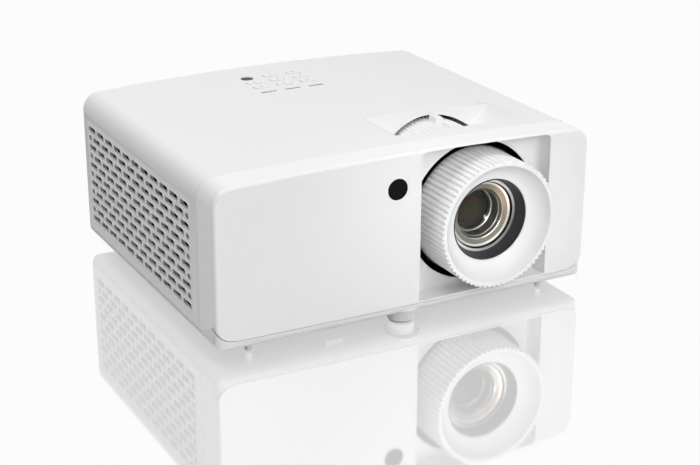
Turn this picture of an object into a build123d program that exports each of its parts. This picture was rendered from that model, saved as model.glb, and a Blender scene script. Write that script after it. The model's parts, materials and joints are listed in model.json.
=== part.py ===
from build123d import *

import math
import os

# Home projector, in millimetres: +Z is up, the lens looks along -Y and the feet stand on z = 0.
# Each function below makes one piece or one small family of pieces, from the sizes named here.

# Casing
BODY_WIDTH = 274.0
BODY_DEPTH = 237.5
FRONT_BOW = 2.1
TOP_Z = 119.2
CROWN = 4.3
UNDERSIDE_Z = 7.5
WALL = 2.5
SHOULDER_R = 13.0
HEM_R = 8.5
REAR_R = 8.0
FRONT_EDGE_R = 2.4
CHIN_R = 9.0
CHIN_LEAD = 0.15
HEEL_R = 12.0

# Parting lines of the casing
SEAM_Z = 14.6
SEAM_GAP = 0.4
SIDE_SEAM_DEPTH = 25.0
SEAM_BOW = 7.5
TONGUE_T = 1.0
TONGUE_LAP = 1.2
TONGUE_FIT = 0.15
EAR_R = 12.5
EAR_CORNER_R = 6.0

# Lens axis and the square well round it
LENS_X = 55.9
LENS_Z = 65.9
WELL_WIDTH = 99.3
WELL_DEPTH = 16.0
WELL_RIM = 1.4
WELL_SILL = 1.4
WELL_WALL = 2.0
WELL_CORNER_R = 4.0
WELL_FILLET = 4.0
WELL_HOLE_R = 48.0
SEAL_T = 1.2
SEAL_GAP = 0.8
SEAL_LAP = 2.0

# Focus ring
RING_PROUD = 16.3
RING_R = 43.2
RING_RIB = 1.3
RING_RIBS = 72
RING_LAND = 2.0
RING_TAIL = 8.0
DISH_R = 27.9
DISH_PROUD = 5.1
DISH_HOLLOW = 1.7
DISH_WALL = 2.5
RUN_FIT = 0.06

# Barrel, cells and glasses
BARREL_NOSE_R = 38.0
BARREL_R = 40.0
BARREL_BORE_R = 30.0
BARREL_FLANGE_R = 47.0
BARREL_FLANGE = 6.0
CELL_FIT = 0.4
HOOD_WALL = 0.4
HOOD_R = 25.1
HOOD_REAR = 3.5
FRONT_GLASS_R = 24.9
GLASS_SEAT = 1.5
KEEPER_R = 23.3
FRONT_GLASS_EDGE = 1.2
FRONT_GLASS_CURVE = 75.0
FRONT_GLASS_HOLLOW = 85.0
SPACER_STEPS = ((22.2, 0.6), (20.8, 1.2), (17.4, 2.6), (16.0, 7.0), (14.6, 2.2), (13.8, 4.0))
INNER_GLASS_R = 13.8
INNER_GLASS = 4.0
INNER_GLASS_CURVE = 40.0
FOCUS_TRAVEL = 1.5

# Zoom ring and its cell
ZOOM_RING_R = 46.5
ZOOM_RING_RIB = 0.9
ZOOM_RING_RIBS = 100
ZOOM_RING_OVER = 3.0
ZOOM_GAP = 2.4
ZOOM_TAB_ANGLE = 1.5
ZOOM_TAB_WIDTH = 5.5
ZOOM_TAB_LENGTH = 9.0
ZOOM_TAB_PROUD = 4.0
ZOOM_TAB_FIT = 0.8
ZOOM_SWING = 22.0
ZOOM_CELL_LENGTH = 32.0
ZOOM_CELL_BORE = 22.0
ZOOM_TRAVEL = 4.0
ZOOM_GLASS = 7.0
ZOOM_GLASS_CURVE = 55.0

# Finger scoop over the zoom ring
SCOOP_FRONT = 34.7
SCOOP_LENGTH = 43.1
SCOOP_DEPTH = 19.2
SCOOP_RAMP = 1.62
SCOOP_BACK_SLOPE = 2.7
SCOOP_WALL = 2.4

# Side grilles
GRILLE_T = 2.8
GRILLE_FRONT = 37.5
GRILLE_TOP_Z = 95.3
GRILLE_ROWS = 11
GRILLE_COLUMNS = 11
SLOT_PITCH_Y = 16.9
SLOT_PITCH_Z = 6.75
SLOT_LENGTH = 14.6
SLOT_HEIGHT = 5.2
SLOT_R = 2.5
GRILLE_MARGIN = 3.6
FILTER_T = 3.0

# Keypad on the top
KEY_COLUMN_X = -22.0
KEY_PITCH_X = 18.6
KEY_ROW_Y = 91.5
KEY_PITCH_Y = 12.0
KEY_LENGTH = 11.0
KEY_WIDTH = 6.4
KEY_R = 3.0
KEY_GAP = 0.3
KEY_PROUD = 0.35
KEY_FLANGE = 1.0
KEY_TRAVEL = 0.8
KEYPAD_DROP = 3.4
BOARD_T = 1.6
LIGHT_LENGTH = 11.4
LIGHT_WIDTH = 1.7
LIGHT_Y = 53.7
TOP_WINDOW_R = 4.6

# Front receiver window
FRONT_WINDOW_X = -11.0
FRONT_WINDOW_Z = 96.2
FRONT_WINDOW_R = 7.2
WINDOW_RECESS = 0.3

# Feet
FOOT_R = 9.0
FOOT_RIB = 0.5
FOOT_RIBS = 44
FOOT_HEIGHT = 9.2
PAD_R = 8.0
PAD_T = 1.2
STUD_R = 3.0
STUD_LENGTH = 21.4
STUD_FIT = 0.3
FOOT_BOSS_R = 12.5
FOOT_BOSS_SINK = 2.3
FOOT_BOSS_WALL = 4.0
FOOT_BOSS_HEIGHT = 19.2
FRONT_FOOT_SETBACK = 13.2
REAR_FOOT_X = 112.0
REAR_FOOT_INSET = 26.0
STOP_R = 2.2
STOP_GAP = 1.0
STOP_X = 110.0
STOP_SETBACK = 14.6
TAB_X = -50.0
TAB_WIDTH = 12.0
TAB_DROP = 3.0
TAB_T = 2.4

# Fastenings under the casing
MOUNT_SPACING_X = 150.0
MOUNT_SPACING_Y = 100.0
MOUNT_CENTRE_Y = 20.0
INSERT_R = 3.2
INSERT_BORE_R = 1.7
INSERT_LENGTH = 8.0
BOSS_WALL = 2.8
BOSS_HEIGHT = 12.5
PILLAR_X = 123.5
PILLAR_FRONT_Y = -77.0
PILLAR_REAR_Y = 112.0
PILLAR_R = 4.5
PILLAR_FOOT_Z = 30.0
SCREW_R = 1.5
SCREW_HEAD_R = 3.1
SCREW_HEAD = 2.2
SCREW_SINK = 0.8
SCREW_REACH = 12.0

# Rear panel and what comes through it
REAR_PANEL_WIDTH = 236.0
REAR_PANEL_LOW_Z = 22.0
REAR_PANEL_HEIGHT = 76.0
REAR_PANEL_T = 2.0
REAR_RECESS = 0.8
SOCKET_FIT = 0.25
SOCKET_SKIN = 0.8
SOCKET_MOUTH = 9.0
LAN_X = 86.0
LAN_WIDTH = 16.0
LAN_HEIGHT = 13.6
HDMI_XS = (62.0, 39.0)
HDMI_WIDTH = 15.2
HDMI_HEIGHT = 6.4
USB_X = 17.0
USB_WIDTH = 13.4
USB_HEIGHT = 6.8
JACK_XS = (-8.0, -20.0)
JACK_SIZE = 9.0
JACK_BORE_R = 1.8
JACK_RING_R = 3.6
INLET_X = -92.0
INLET_Z = 46.0
INLET_WIDTH = 30.0
INLET_HEIGHT = 23.0
INLET_DEPTH = 24.0
INLET_WALL = 2.6
INLET_MOUTH = 17.0
PIN_LENGTH = 11.0
PIN_WIDTH = 4.0
PIN_T = 2.0
PIN_SPREAD = 7.0
PIN_RISE = 2.0

# Light engine and its parts
ENGINE_SETBACK = 6.0
ENGINE_WIDTH = 84.0
ENGINE_DEPTH = 66.0
ENGINE_LOW_Z = 22.0
ENGINE_HEIGHT = 82.0
ENGINE_WALL = 4.0
ENGINE_PORT_R = 22.0
POST_R = 4.0
POST_INSET = 10.0
LASER_DEPTH = 26.0
LASER_LENGTH = 40.0
LASER_HEIGHT = 28.0
LASER_SETBACK = 6.0
FIN_T = 1.2
FIN_PITCH = 4.0
FIN_BASE = 4.0
LASER_SINK = 30.0
WHEEL_R = 22.0
WHEEL_T = 1.5
WHEEL_HUB_R = 7.0
WHEEL_SETBACK = 46.0
WHEEL_RISE = 58.0
MOTOR_R = 9.0
MOTOR_LENGTH = 9.0
SHAFT_R = 1.5
WHEEL_STANDOFF = 0.5
CHIP_BOARD_INSET = 6.0
CHIP_SINK_SIZE = 36.0
CHIP_SINK_DEPTH = 20.0

# Boards on the floor of the casing
MAIN_BOARD_X = 21.0
MAIN_BOARD_WIDTH = 158.0
MAIN_BOARD_DEPTH = 60.0
MAIN_BOARD_Z = 30.0
POWER_BOARD_X = -75.0
POWER_BOARD_Y = -1.0
POWER_BOARD_WIDTH = 54.0
POWER_BOARD_DEPTH = 126.0
POWER_BOARD_Z = 22.0
CAPACITORS = ((-44.0, 9.0, 32.0), (-22.0, 9.0, 32.0), (44.0, 7.0, 24.0))
CAPACITOR_X = -12.0
TRANSFORMERS = ((8.0, 30.0, 26.0), (44.0, 20.0, 20.0))
TRANSFORMER_X = 10.0
TRANSFORMER_WIDTH = 26.0
POWER_FIN_X = 12.0
POWER_FIN_T = 3.0
POWER_FIN_Y = -31.0
POWER_FIN_LENGTH = 38.0
POWER_FIN_HEIGHT = 30.0

# Fans and speaker
FAN_T = 20.0
FAN_FRAME = 3.0
INTAKE_SIZE = 80.0
INTAKE_Y = 20.0
EXHAUST_SIZE = 80.0
EXHAUST_Y = 20.0
FAN_STAND_OFF = 3.0
HUB_SHARE = 0.4
BLADE_GAP = 1.2
BLADE_T = 1.4
BLADES = 7
BLADE_TWIST = 35.0
BLADE_SHARE = 0.8
FAN_SPOKE = 3.0
SPEAKER_Y = -48.0
SPEAKER_WIDTH = 44.0
SPEAKER_HEIGHT = 44.0
SPEAKER_DEPTH = 26.0
SPEAKER_WALL = 2.0
CONE_R = 17.0
CONE_DEPTH = 6.0
CONE_T = 0.8

# Places that follow from the sizes above
HALF_W = BODY_WIDTH / 2
REAR_Y = (BODY_DEPTH + FRONT_BOW + RING_PROUD) / 2
CORNER_Y = REAR_Y - BODY_DEPTH
FRONT_Y = CORNER_Y - FRONT_BOW
RING_FRONT_Y = FRONT_Y - RING_PROUD
WELL_BACK_Y = FRONT_Y + WELL_DEPTH
RING_REAR_Y = WELL_BACK_Y + WELL_WALL + RING_TAIL
DISH_Y = FRONT_Y - DISH_PROUD
WELL_X0 = LENS_X - WELL_WIDTH / 2
WELL_X1 = LENS_X + WELL_WIDTH / 2
WELL_FLOOR_Z = SEAM_Z + WELL_SILL
SCOOP_Y0 = FRONT_Y + SCOOP_FRONT
SCOOP_Y1 = SCOOP_Y0 + SCOOP_LENGTH
ZOOM_RING_Y0 = SCOOP_Y0 - ZOOM_RING_OVER
ZOOM_RING_Y1 = SCOOP_Y1 + ZOOM_RING_OVER
BARREL_STEP_Y = (RING_REAR_Y + ZOOM_RING_Y0) / 2
FLANGE_Y = ZOOM_RING_Y1 + BARREL_FLANGE
ENGINE_Y0 = FLANGE_Y + ENGINE_SETBACK
ENGINE_Y1 = ENGINE_Y0 + ENGINE_DEPTH
ENGINE_X0 = LENS_X - ENGINE_WIDTH / 2
FLOOR_Z = UNDERSIDE_Z + WALL
GRILLE_Y0 = CORNER_Y + GRILLE_FRONT
GRILLE_LENGTH = (GRILLE_COLUMNS - 1) * SLOT_PITCH_Y + SLOT_LENGTH
GRILLE_LOW_Z = GRILLE_TOP_Z - (GRILLE_ROWS - 1) * SLOT_PITCH_Z - SLOT_HEIGHT
HOOD_R0 = DISH_R - CELL_FIT
CELL_R = BARREL_BORE_R - CELL_FIT
HOOD_END_Y = FRONT_Y + HOOD_REAR
GLASS_EDGE_Y = HOOD_END_Y + GLASS_SEAT
SPACER_Y = GLASS_EDGE_Y + FRONT_GLASS_EDGE
SPACER_END_Y = SPACER_Y + sum(step[1] for step in SPACER_STEPS)
ZOOM_CELL_Y = SPACER_END_Y + FOCUS_TRAVEL + ZOOM_TRAVEL + ENGINE_SETBACK
FRONT_FOOT_Y = FRONT_Y + FRONT_FOOT_SETBACK
REAR_FOOT_Y = REAR_Y - REAR_FOOT_INSET
PANEL_OUT_Y = REAR_Y - REAR_RECESS
PANEL_IN_Y = PANEL_OUT_Y - REAR_PANEL_T
MAIN_BOARD_Y1 = PANEL_IN_Y
FILTER_X = HALF_W - GRILLE_T - FILTER_T
FAN_X1 = FILTER_X - FAN_STAND_OFF
KEYS = (
    ("key_up", 1, 0),
    ("key_menu", 2, 0),
    ("key_left", 0, 1),
    ("key_enter", 1, 1),
    ("key_right", 2, 1),
    ("key_power", 0, 2),
    ("key_down", 1, 2),
    ("key_source", 2, 2),
)


def block(x0, x1, y0, y1, z0, z1):
    """A box between two corners."""
    return Pos((x0 + x1) / 2, (y0 + y1) / 2, (z0 + z1) / 2) * Box(x1 - x0, y1 - y0, z1 - z0)


def xz_prism(face, y0, y1):
    """A face drawn in X and Z, drawn out from y0 to y1."""
    plane = Plane(origin=(0, y1, 0), x_dir=(1, 0, 0), z_dir=(0, -1, 0))
    return extrude(plane * face, y1 - y0)


def yz_prism(face, x0, x1):
    """A face drawn in Y and Z, drawn out from x0 to x1."""
    plane = Plane(origin=(x0, 0, 0), x_dir=(0, 1, 0), z_dir=(1, 0, 0))
    return extrude(plane * face, x1 - x0)


def xy_prism(face, z0, z1):
    """A face drawn in X and Y, drawn out from z0 to z1."""
    return extrude(Plane.XY.offset(z0) * face, z1 - z0)


def rod_x(radius, x0, x1, y, z):
    """A round bar along X."""
    return yz_prism(Pos(y, z) * Circle(radius), x0, x1)


def rod_y(radius, y0, y1, x=LENS_X, z=LENS_Z):
    """A round bar along Y, on the lens axis unless told otherwise."""
    return xz_prism(Pos(x, z) * Circle(radius), y0, y1)


def rod_z(radius, z0, z1, x, y):
    """An upright round bar."""
    return xy_prism(Pos(x, y) * Circle(radius), z0, z1)


def turned(lines):
    """A closed outline of radius and y, turned about the lens axis."""
    return Pos(LENS_X, 0, LENS_Z) * revolve(make_face(lines), Axis.Y)


def ribbed(radius, depth, ribs):
    """A round outline with straight ribs: four corners to a rib."""
    corners = []
    for rib in range(ribs):
        for share, height in ((0.0, depth), (0.18, 0.0), (0.62, 0.0), (0.8, depth)):
            angle = 2 * math.pi * (rib + share) / ribs
            reach = radius - height
            corners.append((reach * math.cos(angle), reach * math.sin(angle)))
    return make_face(Polyline(*corners, close=True))


def top_at(x):
    """Height of the crowned top above the floor, at a distance from the middle."""
    radius = (HALF_W**2 + CROWN**2) / (2 * CROWN)
    return TOP_Z - radius + math.sqrt(radius**2 - x**2)


def front_at(x):
    """Place of the bowed front face along Y, at a distance from the middle."""
    radius = (HALF_W**2 + FRONT_BOW**2) / (2 * FRONT_BOW)
    return FRONT_Y + radius - math.sqrt(radius**2 - x**2)


def casing_outline(inset):
    """The casing seen from the front, drawn in by an inset."""
    half = HALF_W - inset
    low = UNDERSIDE_Z + inset
    edge = TOP_Z - CROWN - inset
    face = make_face([
        Line((-half, edge), (-half, low)),
        Line((-half, low), (half, low)),
        Line((half, low), (half, edge)),
        ThreePointArc((half, edge), (0, TOP_Z - inset), (-half, edge)),
    ])
    face = fillet(face.vertices().sort_by(Axis.Y)[-2:], SHOULDER_R - inset)
    return fillet(face.vertices().sort_by(Axis.Y)[:2], HEM_R - inset)


def casing_block(inset):
    """The casing as a full solid, drawn in by an inset on every side."""
    rear = REAR_Y - inset
    front = FRONT_Y + inset
    low = UNDERSIDE_Z + inset
    wide = HALF_W + WALL
    corner = front_at(wide) + inset
    plan = make_face([
        ThreePointArc((-wide, corner), (0, front), (wide, corner)),
        Line((wide, corner), (wide, rear)),
        Line((wide, rear), (-wide, rear)),
        Line((-wide, rear), (-wide, corner)),
    ])
    body = xz_prism(casing_outline(inset), front - WALL, rear) & xy_prism(plan, 0, TOP_Z + WALL)
    body = fillet(body.faces().sort_by(Axis.Y)[-1].edges(), REAR_R - inset)
    if FRONT_EDGE_R > inset:
        body = fillet(body.faces().sort_by(Axis.Y)[0].edges(), FRONT_EDGE_R - inset)
    lead = front - CHIN_LEAD
    high = TOP_Z + WALL
    side = make_face(Polyline((lead, high), (lead, low), (rear, low), (rear, high), close=True))
    heel = [v for v in side.vertices() if v.Y < SEAM_Z and v.X > 0]
    side = fillet(heel, HEEL_R - inset)
    chin = [v for v in side.vertices() if v.Y < SEAM_Z and v.X < CORNER_Y + WALL]
    side = fillet(chin, CHIN_R - inset)
    return body & yz_prism(side, -wide, wide)


def front_zone(shift):
    """Everything in front of the bowed parting line between bezel and top cover."""
    side_y = CORNER_Y + SIDE_SEAM_DEPTH + shift
    wide = HALF_W + WALL
    deep = RING_FRONT_Y - WALL
    face = make_face([
        ThreePointArc((-wide, side_y), (0, side_y - SEAM_BOW), (wide, side_y)),
        Line((wide, side_y), (wide, deep)),
        Line((wide, deep), (-wide, deep)),
        Line((-wide, deep), (-wide, side_y)),
    ])
    return xy_prism(face, 0, TOP_Z + WALL)


def corner_ear(side, grow):
    """The rounded corner of the bottom cover that laps up beside the bezel and runs out backwards."""
    outer = HALF_W + WALL
    centre = HALF_W - EAR_R
    top = SEAM_Z + EAR_R
    square = Pos(side * (centre + outer) / 2, (UNDERSIDE_Z + top) / 2) * Rectangle(
        outer - centre, top - UNDERSIDE_Z
    )
    face = square - Pos(side * centre, top) * Circle(EAR_R - grow)
    lead = FRONT_BOW + WALL
    lift = lead * EAR_R / SIDE_SEAM_DEPTH
    plane = Plane(origin=(0, CORNER_Y - lead, lift), x_dir=(1, 0, 0), z_dir=(0, -1, 0))
    run = Vector(0, SIDE_SEAM_DEPTH + lead, -EAR_R - lift)
    return extrude(plane * face, run.length, dir=run)


def corner_round(side):
    """What is cut from the bottom cover to round a front corner in plan."""
    outer = HALF_W + WALL
    centre = HALF_W - EAR_CORNER_R
    lead = FRONT_Y - WALL
    back = CORNER_Y + EAR_CORNER_R
    square = Pos(side * (centre + outer) / 2, (lead + back) / 2) * Rectangle(outer - centre, back - lead)
    return xy_prism(square - Pos(side * centre, back) * Circle(EAR_CORNER_R), 0, SEAM_Z + EAR_R + WALL)


def well_void():
    """The square hollow round the lens, open at the front."""
    face = Pos(LENS_X, (WELL_FLOOR_Z + TOP_Z) / 2) * Rectangle(WELL_WIDTH, TOP_Z - WELL_FLOOR_Z)
    face = face & casing_outline(WELL_RIM)
    face = fillet(face.vertices().sort_by(Axis.Y)[-2:], WELL_CORNER_R)
    void = xz_prism(face, RING_FRONT_Y, WELL_BACK_Y)
    back = void.faces().sort_by(Axis.Y)[-1]
    low_edges = [e for e in back.edges() if e.center().Z < LENS_Z + WELL_WIDTH / 4]
    return fillet(low_edges, WELL_FILLET)


def scoop_void(grow):
    """The finger scoop: ramps to both sides, a steep back and an upright front."""
    low = TOP_Z - SCOOP_DEPTH - grow
    high = TOP_Z + WALL
    x0 = WELL_X0 - grow
    x1 = WELL_X1 + grow
    left_run = SCOOP_RAMP * (top_at(WELL_X0) - TOP_Z + SCOOP_DEPTH)
    right_run = SCOOP_RAMP * (top_at(WELL_X1) - TOP_Z + SCOOP_DEPTH)
    across = make_face(Polyline(
        (x0, high), (x0, top_at(WELL_X0)), (x0 + left_run, low),
        (x1 - right_run, low), (x1, top_at(WELL_X1)), (x1, high), close=True,
    ))
    y0 = SCOOP_Y0 - grow
    y1 = SCOOP_Y1 + grow
    along = make_face(Polyline(
        (y0, high), (y0, low), (y1 - SCOOP_DEPTH / SCOOP_BACK_SLOPE, low),
        (y1, TOP_Z), (y1, high), close=True,
    ))
    return xz_prism(across, y0, y1) & yz_prism(along, x0, x1)


def grille_slots():
    """Middle, length and height of each slot, row by row, cut short at the ends of the odd rows."""
    half_length = (SLOT_LENGTH - (SLOT_PITCH_Y - SLOT_LENGTH)) / 2
    for row in range(GRILLE_ROWS):
        z = GRILLE_TOP_Z - SLOT_HEIGHT / 2 - row * SLOT_PITCH_Z
        if row % 2 == 0:
            for column in range(GRILLE_COLUMNS):
                yield GRILLE_Y0 + SLOT_LENGTH / 2 + column * SLOT_PITCH_Y, z, SLOT_LENGTH
            continue
        for column in range(GRILLE_COLUMNS - 1):
            yield GRILLE_Y0 + (SLOT_LENGTH + SLOT_PITCH_Y) / 2 + column * SLOT_PITCH_Y, z, SLOT_LENGTH
        yield GRILLE_Y0 + half_length / 2, z, half_length
        yield GRILLE_Y0 + GRILLE_LENGTH - half_length / 2, z, half_length


def grille_frame(margin):
    """The rectangle that a side grille fills, in Y and Z."""
    height = GRILLE_TOP_Z - GRILLE_LOW_Z
    middle = Pos(GRILLE_Y0 + GRILLE_LENGTH / 2, GRILLE_LOW_Z + height / 2)
    return middle * Rectangle(GRILLE_LENGTH + 2 * margin, height + 2 * margin)


def side_grille(side):
    """One flat side grille with its staggered slots."""
    slots = [
        Pos(y, z) * RectangleRounded(length, SLOT_HEIGHT, SLOT_R)
        for y, z, length in grille_slots()
    ]
    face = grille_frame(GRILLE_MARGIN) - slots
    if side < 0:
        return yz_prism(face, -HALF_W, -HALF_W + GRILLE_T)
    return yz_prism(face, HALF_W - GRILLE_T, HALF_W)


def dust_filter():
    """A thin foam sheet behind the intake grille."""
    return yz_prism(grille_frame(0), -FILTER_X - FILTER_T, -FILTER_X)


def key_place(column, row):
    """Middle of a key in plan."""
    return KEY_COLUMN_X + column * KEY_PITCH_X, KEY_ROW_Y - row * KEY_PITCH_Y


def key_hole(column, row, grow):
    """A key's outline in plan, let out by a clearance."""
    x, y = key_place(column, row)
    return Pos(x, y) * RectangleRounded(KEY_LENGTH + 2 * grow, KEY_WIDTH + 2 * grow, KEY_R + grow)


def light_bar(index):
    """Outline of one indicator light in plan."""
    return Pos(KEY_COLUMN_X + index * KEY_PITCH_X, LIGHT_Y) * Rectangle(LIGHT_LENGTH, LIGHT_WIDTH)


def keypad_z():
    """Upper face of the keypad board."""
    return TOP_Z - WALL - KEYPAD_DROP


def keypad_extent():
    """Edges of the keypad board in plan."""
    x_margin = KEY_LENGTH
    y_margin = KEY_WIDTH
    return (
        KEY_COLUMN_X - x_margin,
        KEY_COLUMN_X + 2 * KEY_PITCH_X + x_margin,
        LIGHT_Y - y_margin,
        KEY_ROW_Y + y_margin,
    )


def pillar_places():
    """The four corner pillars that tie the covers together, in plan."""
    for x in (-PILLAR_X, PILLAR_X):
        for y in (PILLAR_FRONT_Y, PILLAR_REAR_Y):
            yield x, y


def top_cover(shell, cavity):
    """Top, side walls and rear frame of the casing, with the scoop, key holes and pillars."""
    upper = block(-HALF_W, HALF_W, FRONT_Y, REAR_Y, SEAM_Z + SEAM_GAP / 2, TOP_Z)
    cover = shell & upper
    tub = scoop_void(SCOOP_WALL) & cavity
    cover = cover + tub
    for x, y in pillar_places():
        pillar = rod_z(PILLAR_R, PILLAR_FOOT_Z, TOP_Z, x, y) & cavity
        cover = cover + pillar
    x0, x1, y0, y1 = keypad_extent()
    for x in (x0 + KEY_WIDTH / 2, x1 - KEY_WIDTH / 2):
        for y in (y0 + KEY_WIDTH / 2, y1 - KEY_WIDTH / 2):
            cover = cover + (rod_z(KEY_WIDTH / 3, keypad_z(), TOP_Z, x, y) & cavity)
    cover = cover - front_zone(SEAM_GAP / 2)
    cover = cover - scoop_void(0)
    cover = cover - rod_y(ZOOM_RING_R + ZOOM_GAP, ZOOM_RING_Y0 - WALL, ZOOM_RING_Y1 + WALL)
    frame = grille_frame(GRILLE_MARGIN)
    cover = cover - yz_prism(frame, -HALF_W, -HALF_W + GRILLE_T)
    cover = cover - yz_prism(frame, HALF_W - GRILLE_T, HALF_W)
    cover = cover - rear_opening()
    holes = [key_hole(column, row, KEY_GAP) for _, column, row in KEYS]
    holes += [light_bar(index) for index in range(3)]
    holes.append(Pos(*key_place(0, 0)) * Circle(TOP_WINDOW_R))
    for hole in holes:
        cover = cover - xy_prism(hole, TOP_Z - CROWN - WALL, TOP_Z)
    for x, y in pillar_places():
        cover = cover - rod_z(SCREW_R, PILLAR_FOOT_Z, PILLAR_FOOT_Z + SCREW_REACH, x, y)
    return cover


def rear_opening():
    """The window in the casing's back that the rear panel fills."""
    high = REAR_PANEL_LOW_Z + REAR_PANEL_HEIGHT
    return block(
        -REAR_PANEL_WIDTH / 2, REAR_PANEL_WIDTH / 2, REAR_Y - 2 * WALL, REAR_Y, REAR_PANEL_LOW_Z, high
    )


def seam_tongue(cavity):
    """The lip inside the bezel that reaches under the edge of the top cover."""
    core = casing_block(WALL + TONGUE_T)
    seam_front = front_zone(-SEAM_GAP / 2)
    root = (cavity - core) & seam_front - front_zone(-TONGUE_LAP)
    tip = (casing_block(WALL + TONGUE_FIT) - core) & front_zone(TONGUE_LAP) - seam_front
    upper = block(-HALF_W, HALF_W, FRONT_Y, REAR_Y, SEAM_Z + TONGUE_T, TOP_Z)
    return (root + tip) & upper


def front_bezel(shell, cavity):
    """The front cap, with the lens opening, the receiver hole and the lip along its seam."""
    upper = block(-HALF_W, HALF_W, FRONT_Y, REAR_Y, SEAM_Z + SEAM_GAP / 2, TOP_Z)
    bezel = shell & upper & front_zone(-SEAM_GAP / 2)
    bezel = bezel - corner_ear(-1, SEAM_GAP) - corner_ear(1, SEAM_GAP)
    bezel = bezel - well_void() + seam_tongue(cavity)
    return bezel - rod_y(
        FRONT_WINDOW_R, FRONT_Y - WALL, FRONT_Y + 2 * WALL, FRONT_WINDOW_X, FRONT_WINDOW_Z
    )


def foot_places():
    """Middle of each adjusting foot in plan."""
    return (
        ("front_foot", 0.0, FRONT_FOOT_Y),
        ("rear_foot_left", -REAR_FOOT_X, REAR_FOOT_Y),
        ("rear_foot_right", REAR_FOOT_X, REAR_FOOT_Y),
    )


def insert_places():
    """Middle of each threaded insert in plan."""
    for x in (-MOUNT_SPACING_X / 2, MOUNT_SPACING_X / 2):
        for y in (-MOUNT_SPACING_Y / 2, MOUNT_SPACING_Y / 2):
            yield x, MOUNT_CENTRE_Y + y


def board_posts():
    """Plan place and top of every post that carries a board or the light engine."""
    half = MAIN_BOARD_WIDTH / 2 - POST_INSET
    for x in (MAIN_BOARD_X - half, MAIN_BOARD_X + half):
        for y in (MAIN_BOARD_Y1 - MAIN_BOARD_DEPTH + POST_INSET, MAIN_BOARD_Y1 - POST_INSET):
            yield x, y, MAIN_BOARD_Z
    half = POWER_BOARD_WIDTH / 2 - POST_INSET
    reach = POWER_BOARD_DEPTH / 2 - POST_INSET
    for x in (POWER_BOARD_X - half, POWER_BOARD_X + half):
        for y in (POWER_BOARD_Y - reach, POWER_BOARD_Y + reach):
            yield x, y, POWER_BOARD_Z
    half = ENGINE_WIDTH / 2 - POST_INSET
    for x in (LENS_X - half, LENS_X + half):
        for y in (ENGINE_Y0 + POST_INSET, ENGINE_Y1 - POST_INSET):
            yield x, y, ENGINE_LOW_Z


def bottom_cover(shell):
    """The tray under everything, with corner ears, foot pockets, posts and screw bosses."""
    lower = block(-HALF_W, HALF_W, FRONT_Y, REAR_Y, UNDERSIDE_Z, SEAM_Z - SEAM_GAP / 2)
    tray = shell & lower
    front = front_zone(-SEAM_GAP / 2)
    for side in (-1, 1):
        tray = tray + (shell & corner_ear(side, 0) & front)
        tray = tray - corner_round(side)
        tray = tray + rod_z(STOP_R, STOP_GAP, FLOOR_Z, side * STOP_X, FRONT_Y + STOP_SETBACK)
    boss_top = WELL_FLOOR_Z - WELL_WALL
    boss_low = UNDERSIDE_Z + FOOT_BOSS_SINK
    inner_r = STUD_R + STUD_FIT
    for _, x, y in foot_places():
        tray = tray + rod_z(FOOT_BOSS_R, boss_low, boss_top, x, y)
        tube = rod_z(inner_r + FOOT_BOSS_WALL, boss_top, boss_low + FOOT_BOSS_HEIGHT, x, y)
        tray = tray + (tube - block(WELL_X0 - WELL_WALL, LENS_X, FRONT_Y, LENS_Z, 0, TOP_Z))
    for x, y in insert_places():
        tray = tray + rod_z(INSERT_R + BOSS_WALL, UNDERSIDE_Z, UNDERSIDE_Z + BOSS_HEIGHT, x, y)
    for x, y in pillar_places():
        tray = tray + rod_z(PILLAR_R, UNDERSIDE_Z + WALL / 2, PILLAR_FOOT_Z, x, y)
    for x, y, top in board_posts():
        tray = tray + rod_z(POST_R, FLOOR_Z - WALL / 2, top, x, y)
    tray = tray + block(
        TAB_X - TAB_WIDTH / 2, TAB_X + TAB_WIDTH / 2,
        FRONT_Y + CHIN_R + WALL, FRONT_Y + CHIN_R + WALL + TAB_T,
        UNDERSIDE_Z - TAB_DROP, FLOOR_Z,
    )
    for _, x, y in foot_places():
        tray = tray - rod_z(inner_r, boss_low, boss_low + FOOT_BOSS_HEIGHT, x, y)
        tray = tray - rod_z(FOOT_BOSS_R, UNDERSIDE_Z, boss_low, x, y)
    for x, y in insert_places():
        tray = tray - rod_z(INSERT_R, UNDERSIDE_Z, UNDERSIDE_Z + INSERT_LENGTH, x, y)
    for x, y in pillar_places():
        sink = UNDERSIDE_Z + SCREW_SINK + SCREW_HEAD
        tray = tray - rod_z(SCREW_HEAD_R, UNDERSIDE_Z, sink, x, y)
        tray = tray - rod_z(SCREW_R, UNDERSIDE_Z, PILLAR_FOOT_Z, x, y)
    return tray


def foot_knob(x, y):
    """A knurled foot with its threaded stud."""
    knob = xy_prism(Pos(x, y) * ribbed(FOOT_R, FOOT_RIB, FOOT_RIBS), PAD_T, FOOT_HEIGHT)
    return knob + rod_z(STUD_R, FOOT_HEIGHT, FOOT_HEIGHT + STUD_LENGTH, x, y)


def foot_pad(x, y):
    """The rubber pad under a foot."""
    return rod_z(PAD_R, 0, PAD_T, x, y)


def mount_inserts():
    """Four threaded brass inserts for a ceiling bracket."""
    top = UNDERSIDE_Z + INSERT_LENGTH
    return [
        rod_z(INSERT_R, UNDERSIDE_Z, top, x, y) - rod_z(INSERT_BORE_R, UNDERSIDE_Z, top, x, y)
        for x, y in insert_places()
    ]


def cover_screws():
    """Four screws that pull the top cover down on the bottom cover."""
    low = UNDERSIDE_Z + SCREW_SINK
    screws = []
    for x, y in pillar_places():
        head = rod_z(SCREW_HEAD_R, low, low + SCREW_HEAD, x, y)
        slot = block(
            x - SCREW_HEAD_R, x + SCREW_HEAD_R, y - SCREW_R / 3, y + SCREW_R / 3, low, low + SCREW_HEAD / 2
        )
        shank = rod_z(SCREW_R, low + SCREW_HEAD, PILLAR_FOOT_Z + SCREW_REACH, x, y)
        screws.append(head - slot + shank)
    return screws


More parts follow.
